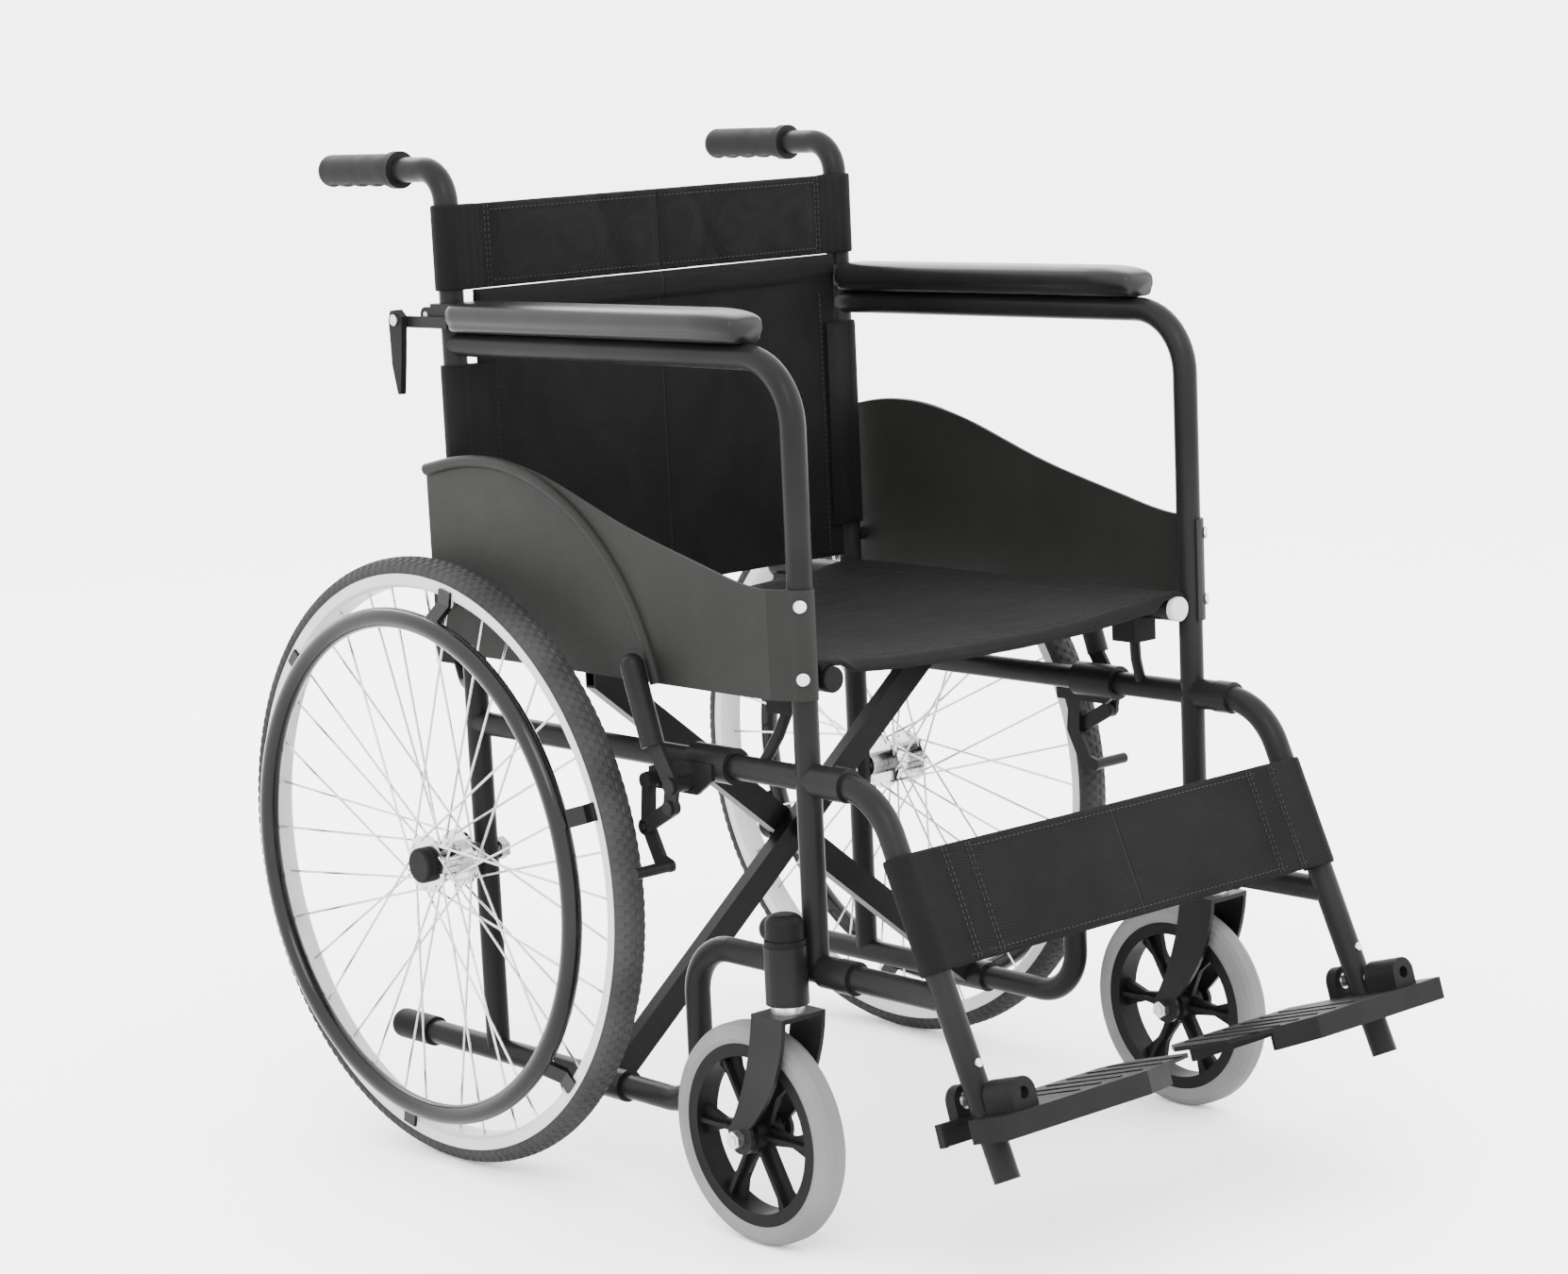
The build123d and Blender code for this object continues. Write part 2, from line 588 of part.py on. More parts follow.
def handrim():
    x, r = HANDRIM_X, HANDRIM_R
    tube = Pos(x, REAR_Y, AXLE_Z) * Rot(0, 90, 0) * (Torus(r, HANDRIM_D / 2) - Torus(r, HANDRIM_D / 2 - 1.5))
    rim_side = WHEEL_X + RIM_W / 2
    tab = Polyline((rim_side - 4, RIM_IN_R + 5), (rim_side + 3, RIM_IN_R - 2), (x, r + 4))
    tabs = []
    for i in range(HANDRIM_TABS):
        angle = 360 / HANDRIM_TABS * i + 12
        flat = Pos(0, REAR_Y, AXLE_Z) * Rot(angle, 0, 0)
        body = make_face(
            Polyline(
                (rim_side, 0, RIM_IN_R + 8),
                (rim_side + 3, 0, RIM_IN_R + 8),
                (rim_side + 3, 0, RIM_IN_R - 4),
                (x + 2, 0, r + 4),
                (x - 4, 0, r + 3),
                (rim_side, 0, RIM_IN_R - 8),
                close=True,
            )
        )
        tabs.append(flat * extrude(body, amount=8, both=True))
    whole = tube
    for t in tabs:
        whole += t
    return whole


def rear_axle():
    """Axle bolt with its inboard nut, the spacer against the upright, and the outer nut."""
    x, z = FRAME_X, AXLE_Z
    bolt = disc(AXLE_D / 2, (x - TUBE_R - 10, REAR_Y, z), HUB_X[1] + 2 - x + TUBE_R + 10)
    nut = Pos(x - TUBE_R - 9, REAR_Y, z) * Rot(0, 90, 0) * extrude(RegularPolygon(10.5, 6), amount=9)
    spacer = disc(11, (x + TUBE_R - 1, REAR_Y, z), HUB_X[0] - x - TUBE_R + 1 - 0.2)
    spacer -= rod(TUBE_R, (x, REAR_Y, z - 30), (x, REAR_Y, z + 30))
    nut -= rod(TUBE_R, (x, REAR_Y, z - 30), (x, REAR_Y, z + 30))
    outer = disc(9, (HUB_X[1] + 0.2, REAR_Y, z), 4.5)
    return bolt + nut + spacer + outer


# ---- caster ---------------------------------------------------------------------------------------------
CASTER_AT = (FRAME_X + STEM_X, STEM_Y + TRAIL, CASTER_R)
CORE_R = CASTER_R - CASTER_TYRE_H


def caster_tyre():
    x, half = CASTER_AT[0], CASTER_W / 2
    outline = [
        (x - half + 2, CORE_R),
        (x - half, CORE_R + 4),
        (x - half, CASTER_R - 7),
        (x - half + 3, CASTER_R - 2.5),
        (x - half + 8, CASTER_R),
        (x + half - 8, CASTER_R),
        (x + half - 3, CASTER_R - 2.5),
        (x + half, CASTER_R - 7),
        (x + half, CORE_R + 4),
        (x + half - 2, CORE_R),
    ]
    return ring(outline, CASTER_AT)


def caster_core():
    """Six-spoke moulded wheel centre with a rib down each spoke."""
    x, y, z = CASTER_AT
    half = CASTER_W / 2 - 2
    rim = disc(CORE_R, (x - half, y, z), 2 * half) - disc(CORE_R - 11, (x - half, y, z), 2 * half)
    core = rim + disc(15, (x - half - 2, y, z), 2 * half + 4)
    for i in range(CASTER_SPOKES):
        turn = Pos(x, y, z) * Rot(360 / CASTER_SPOKES * i + 30, 0, 0)
        web = Polyline((0, -9, 8), (0, 9, 8), (0, 4.5, 42), (0, 14, 69), (0, -14, 69), (0, -4.5, 42), close=True)
        core += turn * extrude(make_face(web), amount=2.6, both=True)
        core += turn * (Pos(0, 0, 40) * Box(17, 4, 58))
    core -= disc(4 + FIT, (x - half - 3, y, z), 2 * half + 6)
    return core


def fork_arm(x):
    """Curved cheek from the crown down to the axle, drawn in YZ."""
    top_y, axle_y, z = STEM_Y, CASTER_AT[1], CASTER_R
    front = Spline((x, top_y - 19, CROWN_Z), (x, top_y - 8, 158), (x, axle_y - 13, z + 10))
    nose = ThreePointArc((x, axle_y - 13, z + 10), (x, axle_y - 4, z - 13), (x, axle_y + 13, z + 4))
    back = Spline((x, axle_y + 13, z + 4), (x, top_y + 31, 150), (x, top_y + 19, CROWN_Z))
    close = Line((x, top_y + 19, CROWN_Z), (x, top_y - 19, CROWN_Z))
    return extrude(make_face(front + nose + back + close), amount=FORK_T, dir=(1, 0, 0))


def fork():
    x = FRAME_X + STEM_X
    half = FORK_GAP / 2
    crown = block((x - half - FORK_T, x + half + FORK_T), (STEM_Y - 19, STEM_Y + 19), (CROWN_Z - FORK_T, CROWN_Z))
    crown = fillet(crown.edges().filter_by(Axis.Z), 5)
    body = crown + fork_arm(x - half - FORK_T) + fork_arm(x + half)
    body += disc(STEM_D / 2, (x, STEM_Y, CROWN_Z - 2), HOUSING_Z[1] - CROWN_Z - 4, "Z")
    return body - disc(4, (x - half - FORK_T - 1, CASTER_AT[1], CASTER_R), FORK_GAP + 2 * FORK_T + 2)


def caster_hardware():
    """Axle bolt with nuts and spacers, and the bearing ring under the housing."""
    x, y, z = CASTER_AT
    half = FORK_GAP / 2 + FORK_T
    bolt = disc(4, (x - half - 8, y, z), 2 * half + 16)
    for start in (x - half - 7, x + half):
        bolt += Pos(start, y, z) * Rot(0, 90, 0) * extrude(RegularPolygon(8, 6), amount=7)
    gap = CASTER_W / 2 + 0.3
    washers = disc(8, (x - FORK_GAP / 2, y, z), FORK_GAP / 2 - gap) + disc(8, (x + gap, y, z), FORK_GAP / 2 - gap)
    bearing = disc(14, (x, STEM_Y, CROWN_Z), HOUSING_Z[0] - CROWN_Z - 0.2, "Z")
    bearing -= disc(STEM_D / 2, (x, STEM_Y, CROWN_Z - 1), 12, "Z")
    return Compound([bolt + washers, bearing])


# ---- wheel lock -----------------------------------------------------------------------------------------
def lock_bracket():
    """Clamp on the middle rail with a tab, and the two pivot studs."""
    y_clamp = (-352.0, -302.0)
    clamp = disc(TUBE_R + 4.5, (FRAME_X, y_clamp[0], MID_Z), y_clamp[1] - y_clamp[0], "Y")
    clamp -= disc(TUBE_R, (FRAME_X, y_clamp[0] - 1, MID_Z), 52, "Y")
    tab_outline = [(-340, 398), (-300, 398), (-259, 388), (-259, 370), (-320, 370), (-340, 384)]
    tab = plate_yz(tab_outline, FRAME_X + TUBE_R + 3, LOCK_PLATE)
    tab_face = FRAME_X + TUBE_R + 3 + LOCK_PLATE
    studs = []
    for (y, z), plate_x in ((LOCK_LEVER, LOCK_LEVER_X), (LOCK_ARM, LOCK_ARM_X)):
        stud = disc(6.5, (tab_face, y, z), plate_x - 0.2 - tab_face)
        stud += disc(4, (tab_face, y, z), plate_x + LOCK_PLATE + 0.2 - tab_face)
        studs.append(stud + disc(7, (plate_x + LOCK_PLATE + 0.2, y, z), 3))
    return clamp + tab + studs[0] + studs[1]


def lock_lever():
    x, t = LOCK_LEVER_X, LOCK_PLATE
    foot, head = LOCK_GRIP
    arm = strap_yz(LOCK_KNEE, LOCK_LEVER, 15, x, t) + strap_yz(LOCK_LEVER, foot, 17, x, t)
    along = Plane(
        origin=(x + t / 2 + 2, *foot),
        x_dir=(1, 0, 0),
        z_dir=(0, head[0] - foot[0], head[1] - foot[1]),
    )
    length = math.hypot(head[0] - foot[0], head[1] - foot[1])
    grip = Cylinder(LOCK_GRIP_D / 2, length, align=(Align.CENTER, Align.CENTER, Align.MIN))
    grip += Pos(0, 0, length) * Sphere(LOCK_GRIP_D / 2)
    pin = disc(4, (LOCK_LINK_X - 0.4, *LOCK_KNEE), x - LOCK_LINK_X + 0.4) + disc(6, (x + t, *LOCK_KNEE), 2.5)
    return arm + along * grip + pin - disc(4 + FIT, (x - 1, *LOCK_LEVER), t + 2)


def lock_arm():
    """Shoe arm: flat bar from its pivot, with a round shoe that lies across the tyre."""
    x, t = LOCK_ARM_X, LOCK_PLATE
    bar = strap_yz(LOCK_ARM, LOCK_ANKLE, 15, x, t)
    bar += strap_yz(LOCK_ANKLE, (LOCK_SHOE[0] + 12, LOCK_SHOE[1] + 4), 15, x, t)
    bar += strap_yz((LOCK_SHOE[0] + 12, LOCK_SHOE[1] + 4), LOCK_SHOE, 11, x, t)
    shoe = disc(5, (x, *LOCK_SHOE), WHEEL_X + TYRE_W / 2 - x)
    pin = disc(3.5, (x + t, *LOCK_ANKLE), LOCK_LINK_X + 3 - x - t)
    return bar + shoe + pin - disc(4 + FIT, (x - 1, *LOCK_ARM), t + 2)


def lock_link():
    x = LOCK_LINK_X
    link = strap_yz(LOCK_KNEE, LOCK_ANKLE, 14, x, 3)
    link -= disc(4 + FIT, (x - 1, *LOCK_KNEE), 5)
    return link - disc(3.5 + 1.3, (x - 1, *LOCK_ANKLE), 5)


# ---- folding back ------------------------------------------------------------------------------------------
def upper_post():
    """Upper part of the back: hinge half, post, and the bend into the push handle."""
    x, z, half = FRAME_X, JOINT_Z, JOINT_W / 2
    cap = block((x - half, x + half), (-17, 15), (z, z + 10))
    knuckle_room = disc(7 + CLEAR, (x - 5 - CLEAR, JOINT_PIVOT_Y, z), 10 + 2 * CLEAR)
    ears = []
    for low in (x - half, x + 5 + CLEAR):
        width = half - 5 - CLEAR
        ear = disc(7, (low, JOINT_PIVOT_Y, z), width)
        ears.append(ear + block((low, low + width), (10, JOINT_PIVOT_Y), (z + 0.2, z + 7)))
    points = ((x, REAR_Y, z + 9), (x, REAR_Y, GRIP_Z), (x, GRIP_Y[1] - 12, GRIP_Z))
    tube = rod(TUBE_R, *points, bend=POST_BEND_R) - rod(BORE_R, *points, bend=POST_BEND_R)
    post = cap - knuckle_room + ears[0] + ears[1] + tube
    return post - disc(3 + FIT, (x - half - 1, JOINT_PIVOT_Y, z), JOINT_W + 2)


def grip():
    """Moulded handle grip: collar, finger grooves below, rounded end."""
    x, z = FRAME_X, GRIP_Z
    y0, y1 = GRIP_Y
    body = disc(GRIP_D / 2, (x, y0, z), y1 - y0, "Y")
    body = fillet(body.edges().group_by(Axis.Y)[-1], 9)
    body += disc(GRIP_D / 2 + 2, (x, y0, z), 9, "Y")
    for i in range(4):
        y = y0 + 25 + i * 23
        body -= Pos(x, y, z - GRIP_D / 2 - 9) * Rot(0, 90, 0) * Cylinder(13, 60)
    return body - disc(TUBE_R, (x, y0 - 1, z), y1 - y0 - 11, "Y")


def release_lever():
    x = FRAME_X + LEVER_X
    y, z = LEVER_PIVOT_Y, JOINT_Z - 4
    head = [(y - 10, z + 3), (y - 3, z + 9), (y + 7, z + 8), (y + 10, z)]
    tail = [(y + 9, z - 40), (y + 3, z - 66), (y - 1, z - 66), (y - 5, z - 40)]
    blade = plate_yz(head + tail, x, LEVER_T)
    return blade - disc(3 + FIT, (x - 1, y, z), LEVER_T + 2)


# ---- cloth ----------------------------------------------------------------------------------------------------
def back_cloth(cloth_z, sleeve_z):
    """Half of a back cloth: a sleeve round the post and a flat half panel."""
    x = FRAME_X
    z0, z1 = sleeve_z
    y = (BACK_FRONT_Y, BACK_FRONT_Y + BACK_THICK)
    sleeve = disc(BACK_SLEEVE_D / 2, (x, REAR_Y, z0), z1 - z0, "Z")
    half = sleeve + block((HALF_GAP, x), y, sleeve_z) - disc(TUBE_R + CLEAR, (x, REAR_Y, z0 - 1), z1 - z0 + 2, "Z")
    if cloth_z == sleeve_z:
        return half
    return half + block((HALF_GAP, x - JOINT_W / 2 - 2), y, cloth_z)


def calf_strap():
    """Half of the calf strap, a sleeve round the legrest tube and a flat half band."""
    z0, z1 = STRAP_Z
    y0, y1 = hanger_point(z0), hanger_point(z1)
    length = math.hypot(y1 - y0, z1 - z0)
    along = Plane(origin=(0, y0, z0), x_dir=(1, 0, 0), z_dir=(0, y1 - y0, z1 - z0))
    outer = TUBE_R + CLEAR + STRAP_THICK / 2 + 0.7
    sleeve = Pos(FRAME_X, 0) * Circle(outer)
    front = -outer
    sheet = Pos((FRAME_X + HALF_GAP) / 2, front + STRAP_THICK / 2) * Rectangle(FRAME_X - HALF_GAP, STRAP_THICK)
    section = sleeve + sheet - Pos(FRAME_X, 0) * Circle(TUBE_R + CLEAR)
    return along * extrude(section, amount=length)


def seat_sling():
    """One-piece seat cloth lying on both rails, sagging a little in the middle."""
    x, top = SEAT_SIDE, RAIL_Z + TUBE_R + CLEAR + CLOTH
    upper = ThreePointArc((-RAIL_X + 6, 0, top), (0, 0, top - SEAT_SAG), (RAIL_X - 6, 0, top))
    right = Polyline(upper @ 1, (x - 3, 0, top - 1), (x, 0, top - 5), (x, 0, top - 9))
    lower_z = top - CLOTH
    inner = Polyline((x, 0, top - 9), (x - 1.5, 0, top - 9), (x - 3, 0, lower_z), (RAIL_X - 6, 0, lower_z))
    belly = ThreePointArc((RAIL_X - 6, 0, lower_z), (0, 0, lower_z - SEAT_SAG), (6 - RAIL_X, 0, lower_z))
    inner_l = Polyline((6 - RAIL_X, 0, lower_z), (3 - x, 0, lower_z), (1.5 - x, 0, top - 9), (-x, 0, top - 9))
    left = Polyline((-x, 0, top - 9), (-x, 0, top - 5), (3 - x, 0, top - 1), upper @ 0)
    section = make_face(upper + right + inner + belly + inner_l + left)
    sling = extrude(Pos(0, SEAT_FRONT_Y, 0) * section, amount=SEAT_REAR_Y - SEAT_FRONT_Y, dir=(0, 1, 0))
    for s in (-1, 1):
        sling -= disc(TUBE_R + CLEAR, (s * RAIL_X, SEAT_FRONT_Y - 1, RAIL_Z), 600, "Y")
    return sling


# ---- cross brace ------------------------------------------------------------------------------------------------
def cross_arm(y):
    """Arm hinged on the right bottom rail that carries the left seat rail; y is its middle plane."""
    reach = math.hypot(FRAME_X + RAIL_X, RAIL_Z - BASE_Z)
    along = reach * math.cos(math.atan2(RAIL_Z - BASE_Z, FRAME_X + RAIL_X) - math.radians(FOLD_ANGLE))
    place = Pos(-FRAME_X, y, BASE_Z) * Rot(0, -FOLD_ANGLE, 0)
    bar = place * Pos((along + 8) / 2, 0, 0) * Box(along + 8, ARM_T, ARM_H)
    bar -= block((RAIL_X + TUBE_R - 1, RAIL_X + 80), (y - ARM_T, y + ARM_T), (BASE_Z, RAIL_Z + ARM_H))
    hollow = place * Pos((along + 8) / 2 + 8, 0, 0) * Box(along - 36, ARM_T - 2 * ARM_WALL, ARM_H - 2 * ARM_WALL)
    sleeve = disc(BASE_SLEEVE_D / 2, (-FRAME_X, y - BASE_SLEEVE_L / 2, BASE_Z), BASE_SLEEVE_L, "Y")
    rail = disc(TUBE_R, (RAIL_X, RAIL_FRONT_Y, RAIL_Z), RAIL_REAR_Y - RAIL_FRONT_Y, "Y")
    rail_bore = disc(BORE_R, (RAIL_X, RAIL_FRONT_Y + 8, RAIL_Z), RAIL_REAR_Y - RAIL_FRONT_Y - 16, "Y")
    plug = disc(TUBE_R, (RAIL_X, RAIL_REAR_Y - 1, RAIL_Z), RAIL_PLUG_L + 1, "Y")
    plug = fillet(plug.edges().group_by(Axis.Y)[-1], 8)
    arm = bar - hollow + sleeve + rail - rail_bore + plug
    arm -= disc(TUBE_R + FIT, (-FRAME_X, y - BASE_SLEEVE_L, BASE_Z), 2 * BASE_SLEEVE_L, "Y")
    return arm - disc(PIVOT_BOLT_D / 2 + FIT, (0, y - 20, PIVOT_MID_Z), 40, "Y")


def rail_cap():
    """Plug in the front end of a seat rail."""
    cap = disc(TUBE_R, (RAIL_X, RAIL_FRONT_Y - RAIL_CAP_T, RAIL_Z), RAIL_CAP_T, "Y")
    return fillet(cap.edges().group_by(Axis.Y)[0], 2)


def pivot_bolt():
    """Bolt through the crossing, with its round cap behind; fixed to the arm it is pressed in."""
    front = CROSS_Y - ARM_GAP / 2 - ARM_T
    back = CROSS_Y + ARM_GAP / 2 + ARM_T
    bolt = disc(PIVOT_BOLT_D / 2, (0, front - 5, PIVOT_MID_Z), back - front + 12, "Y")
    bolt += disc(PIVOT_BOLT_D / 2 + 4, (0, front - 6, PIVOT_MID_Z), 6, "Y")
    spacer = disc(PIVOT_BOLT_D / 2 + 5, (0, CROSS_Y - ARM_GAP / 2, PIVOT_MID_Z), ARM_GAP, "Y")
    cap = disc(PIVOT_CAP_D / 2, (0, back + 0.3, PIVOT_MID_Z), 16, "Y")
    cap = fillet(cap.edges().group_by(Axis.Y)[-1], 5)
    return bolt + spacer + cap


def main():
    os.makedirs("parts", exist_ok=True)
    front_arm = CROSS_Y - (ARM_GAP + ARM_T) / 2
    rear_arm = CROSS_Y + (ARM_GAP + ARM_T) / 2
    pairs = {
        "side_frame": side_frame(),
        "end_caps": end_caps(),
        "arm_pad": arm_pad(),
        "side_panel": side_panel(),
        "frame_screws": frame_screws(),
        "hanger": hanger(),
        "lock_bracket": lock_bracket(),
        "rear_axle": rear_axle(),
        "footplate": footplate(),
        "caster_fork": fork(),
        "caster_hardware": caster_hardware(),
        "caster_core": caster_core(),
        "caster_tyre": caster_tyre(),
        "rear_tyre": rear_tyre(),
        "rear_rim": rear_rim(),
        "hub_and_spokes": hub_and_spokes(),
        "hub_cap": hub_cap(),
        "handrim": handrim(),
        "lock_lever": lock_lever(),
        "lock_arm": lock_arm(),
        "lock_link": lock_link(),
        "upper_post": upper_post(),
        "handle_grip": grip(),
        "back_band": back_cloth(BAND_Z, BAND_Z),
        "back_panel": back_cloth(PANEL_Z, PANEL_SLEEVE_Z),
        "release_lever": release_lever(),
        "calf_strap": calf_strap(),
        "rail_cap": rail_cap(),
    }
    for name, shape in pairs.items():
        save_pair(name, shape)
    save("cross_arm_right", cross_arm(front_arm))
    save("cross_arm_left", mirror(cross_arm(rear_arm), about=Plane.YZ))
    save("pivot_bolt", pivot_bolt())
    save("seat_sling", seat_sling())


main()
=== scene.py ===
"""Looks for a folding manual wheelchair: metres, +Z up, the chair faces -Y, +X is the occupant's left."""
import json
import math

import bpy
import numpy as np
from mathutils import Matrix, Vector, noise


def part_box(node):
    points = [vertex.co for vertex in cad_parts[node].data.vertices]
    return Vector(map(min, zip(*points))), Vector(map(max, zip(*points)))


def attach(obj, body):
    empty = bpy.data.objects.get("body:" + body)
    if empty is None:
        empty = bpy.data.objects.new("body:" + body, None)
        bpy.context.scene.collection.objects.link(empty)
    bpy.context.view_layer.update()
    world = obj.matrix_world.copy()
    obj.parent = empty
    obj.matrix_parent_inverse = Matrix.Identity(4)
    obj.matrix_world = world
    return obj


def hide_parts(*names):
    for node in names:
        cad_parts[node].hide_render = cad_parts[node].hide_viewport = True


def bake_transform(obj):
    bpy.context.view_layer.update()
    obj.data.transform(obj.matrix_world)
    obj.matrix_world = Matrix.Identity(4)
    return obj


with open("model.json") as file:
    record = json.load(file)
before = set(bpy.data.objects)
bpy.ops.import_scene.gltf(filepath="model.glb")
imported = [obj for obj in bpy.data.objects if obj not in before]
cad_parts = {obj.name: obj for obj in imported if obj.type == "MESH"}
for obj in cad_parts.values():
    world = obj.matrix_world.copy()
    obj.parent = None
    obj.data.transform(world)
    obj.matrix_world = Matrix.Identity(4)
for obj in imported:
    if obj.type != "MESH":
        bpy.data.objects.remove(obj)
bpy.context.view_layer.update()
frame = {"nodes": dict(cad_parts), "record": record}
SIDES = (("left", 1.0), ("right", -1.0))


# ---- places, read from the frame -------------------------------------------------------------
def middle(node):
    low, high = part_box(node)
    return (low + high) / 2


JOINTS = {joint["name"]: joint for joint in frame["record"]["behaviour"]["joints"]}
POST_X = abs(JOINTS["panel_fold_left"]["pos_m"][0])
POST_Y = JOINTS["panel_fold_left"]["pos_m"][1]
RAIL_X = abs(middle("rail_cap_left").x)
RAIL_Z = middle("rail_cap_left").z
RAIL_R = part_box("rail_cap_left")[1].z - RAIL_Z
SEAT_LOW, SEAT_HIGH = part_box("seat_sling")
PANEL_LOW, PANEL_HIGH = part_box("back_panel_left")
BAND_LOW, BAND_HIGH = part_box("back_band_left")
CLOTH_LINE = (PANEL_HIGH.z + BAND_LOW.z) / 2
CLOTH_GAP = 0.0003  # from that line to the head band above it and to the back panel below it
BAND_LOW.z = CLOTH_LINE + CLOTH_GAP
PANEL_HIGH.z = CLOTH_LINE - CLOTH_GAP
TUBE_R = RAIL_R  # rails, posts and frame are one size of tube
WHEEL = middle("rear_tyre_left")
WHEEL_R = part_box("rear_tyre_left")[1].z - WHEEL.z
TYRE_HALF = (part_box("rear_tyre_left")[1].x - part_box("rear_tyre_left")[0].x) / 2
RIM_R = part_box("rear_rim_left")[1].z - WHEEL.z


# ---- materials ---------------------------------------------------------------------------------
class Nodes:
    """Short-hand for building one node material."""

    def __init__(self, name):
        self.material = bpy.data.materials.new(name)
        self.material.use_nodes = True
        self.tree = self.material.node_tree
        self.shader = self.tree.nodes["Principled BSDF"]
        self.coords = self.tree.nodes.new("ShaderNodeTexCoord").outputs["Object"]

    def link(self, source, target):
        self.tree.links.new(source, target)

    def noise(self, scale, detail=3.0, stretch=None):
        node = self.tree.nodes.new("ShaderNodeTexNoise")
        node.inputs["Scale"].default_value = scale
        node.inputs["Detail"].default_value = detail
        self.link(self.mapped(stretch), node.inputs["Vector"])
        return node.outputs["Fac"]

    def mapped(self, stretch=None, turn=None):
        if stretch is None and turn is None:
            return self.coords
        node = self.tree.nodes.new("ShaderNodeMapping")
        if stretch is not None:
            node.inputs["Scale"].default_value = stretch
        if turn is not None:
            node.inputs["Rotation"].default_value = turn
        self.link(self.coords, node.inputs["Vector"])
        return node.outputs["Vector"]

    def wave(self, scale, direction, turn=None):
        node = self.tree.nodes.new("ShaderNodeTexWave")
        node.bands_direction = direction
        node.inputs["Scale"].default_value = scale
        node.inputs["Distortion"].default_value = 0.0
        self.link(self.mapped(turn=turn), node.inputs["Vector"])
        return node.outputs["Fac"]

    def math(self, operation, a, b):
        node = self.tree.nodes.new("ShaderNodeMath")
        node.operation = operation
        for socket, value in zip(node.inputs, (a, b)):
            if isinstance(value, (int, float)):
                socket.default_value = value
            else:
                self.link(value, socket)
        return node.outputs[0]

    def ramp(self, value, low, high, from_low=0.3, from_high=0.7):
        """Value spread over a colour range."""
        node = self.tree.nodes.new("ShaderNodeValToRGB")
        node.color_ramp.elements[0].position = from_low
        node.color_ramp.elements[0].color = (*low, 1)
        node.color_ramp.elements[1].position = from_high
        node.color_ramp.elements[1].color = (*high, 1)
        self.link(value, node.inputs["Fac"])
        return node.outputs["Color"]

    def spread(self, value, low, high):
        node = self.tree.nodes.new("ShaderNodeMapRange")
        node.inputs["To Min"].default_value = low
        node.inputs["To Max"].default_value = high
        self.link(value, node.inputs["Value"])
        return node.outputs["Result"]

    def bump(self, height, strength, distance):
        node = self.tree.nodes.new("ShaderNodeBump")
        node.inputs["Strength"].default_value = strength
        node.inputs["Distance"].default_value = distance
        self.link(height, node.inputs["Height"])
        self.link(node.outputs["Normal"], self.shader.inputs["Normal"])

    def set(self, **values):
        for name, value in values.items():
            self.shader.inputs[name.replace("_", " ")].default_value = value


def grey(value, tint=(1.0, 1.0, 1.0)):
    return tuple(value * t for t in tint)


def coated(name, low, high, rough, grain=900.0, bump=0.12, metallic=0.0, coat=0.0, gloss=0.1):
    """Paint or moulded plastic: faint orange peel, slow colour change, uneven gloss."""
    n = Nodes(name)
    cloudy = n.noise(9.0, 4.0)
    fine = n.noise(grain, 2.0)
    n.link(n.ramp(cloudy, low, high), n.shader.inputs["Base Color"])
    n.link(n.spread(n.noise(38.0, 5.0), *rough), n.shader.inputs["Roughness"])
    n.bump(fine, bump, 0.0006)
    n.set(Metallic=metallic, Specular_IOR_Level=gloss)
    if coat:
        n.set(Coat_Weight=coat, Coat_Roughness=0.12)
    return n.material


def metal(name, low, high, rough, stretch=(1, 1, 1), grain=300.0):
    """Bare or plated metal with fine drawn lines."""
    n = Nodes(name)
    lines = n.noise(grain, 3.0, stretch)
    n.link(n.ramp(lines, low, high), n.shader.inputs["Base Color"])
    n.link(n.spread(n.noise(60.0, 4.0), *rough), n.shader.inputs["Roughness"])
    n.bump(lines, 0.08, 0.0004)
    n.set(Metallic=1.0)
    return n.material


def cloth(name, low, high, pitch=0.0011, sheen=0.25):
    """Plain-woven nylon: two crossed sets of threads, with slow fading."""
    n = Nodes(name)
    scale = 1 / (math.pi * pitch)
    warp = n.wave(scale, "X")
    weft = n.wave(scale, "Z")
    depth = n.wave(scale, "Y")
    weave = n.math("ADD", n.math("MULTIPLY", warp, weft), n.math("MULTIPLY", warp, depth))
    faded = n.math("ADD", n.math("MULTIPLY", n.noise(5.0, 5.0), 0.75), n.math("MULTIPLY", weave, 0.22))
    n.link(n.ramp(faded, low, high, 0.25, 0.75), n.shader.inputs["Base Color"])
    n.link(n.spread(n.noise(30.0, 3.0), 0.72, 0.92), n.shader.inputs["Roughness"])
    n.bump(weave, 0.45, 0.0005)
    n.set(Sheen_Weight=sheen, Sheen_Roughness=0.4)
    n.set(Specular_IOR_Level=0.06)
    return n.material


def rubber(name, low, high, rough=(0.6, 0.85), grain=500.0, bump=0.35):
    n = Nodes(name)
    dusty = n.noise(14.0, 6.0)
    n.link(n.ramp(dusty, low, high), n.shader.inputs["Base Color"])
    n.link(n.spread(n.noise(70.0, 4.0), *rough), n.shader.inputs["Roughness"])
    n.bump(n.noise(grain, 4.0), bump, 0.0007)
    n.set(Specular_IOR_Level=0.08)
    return n.material


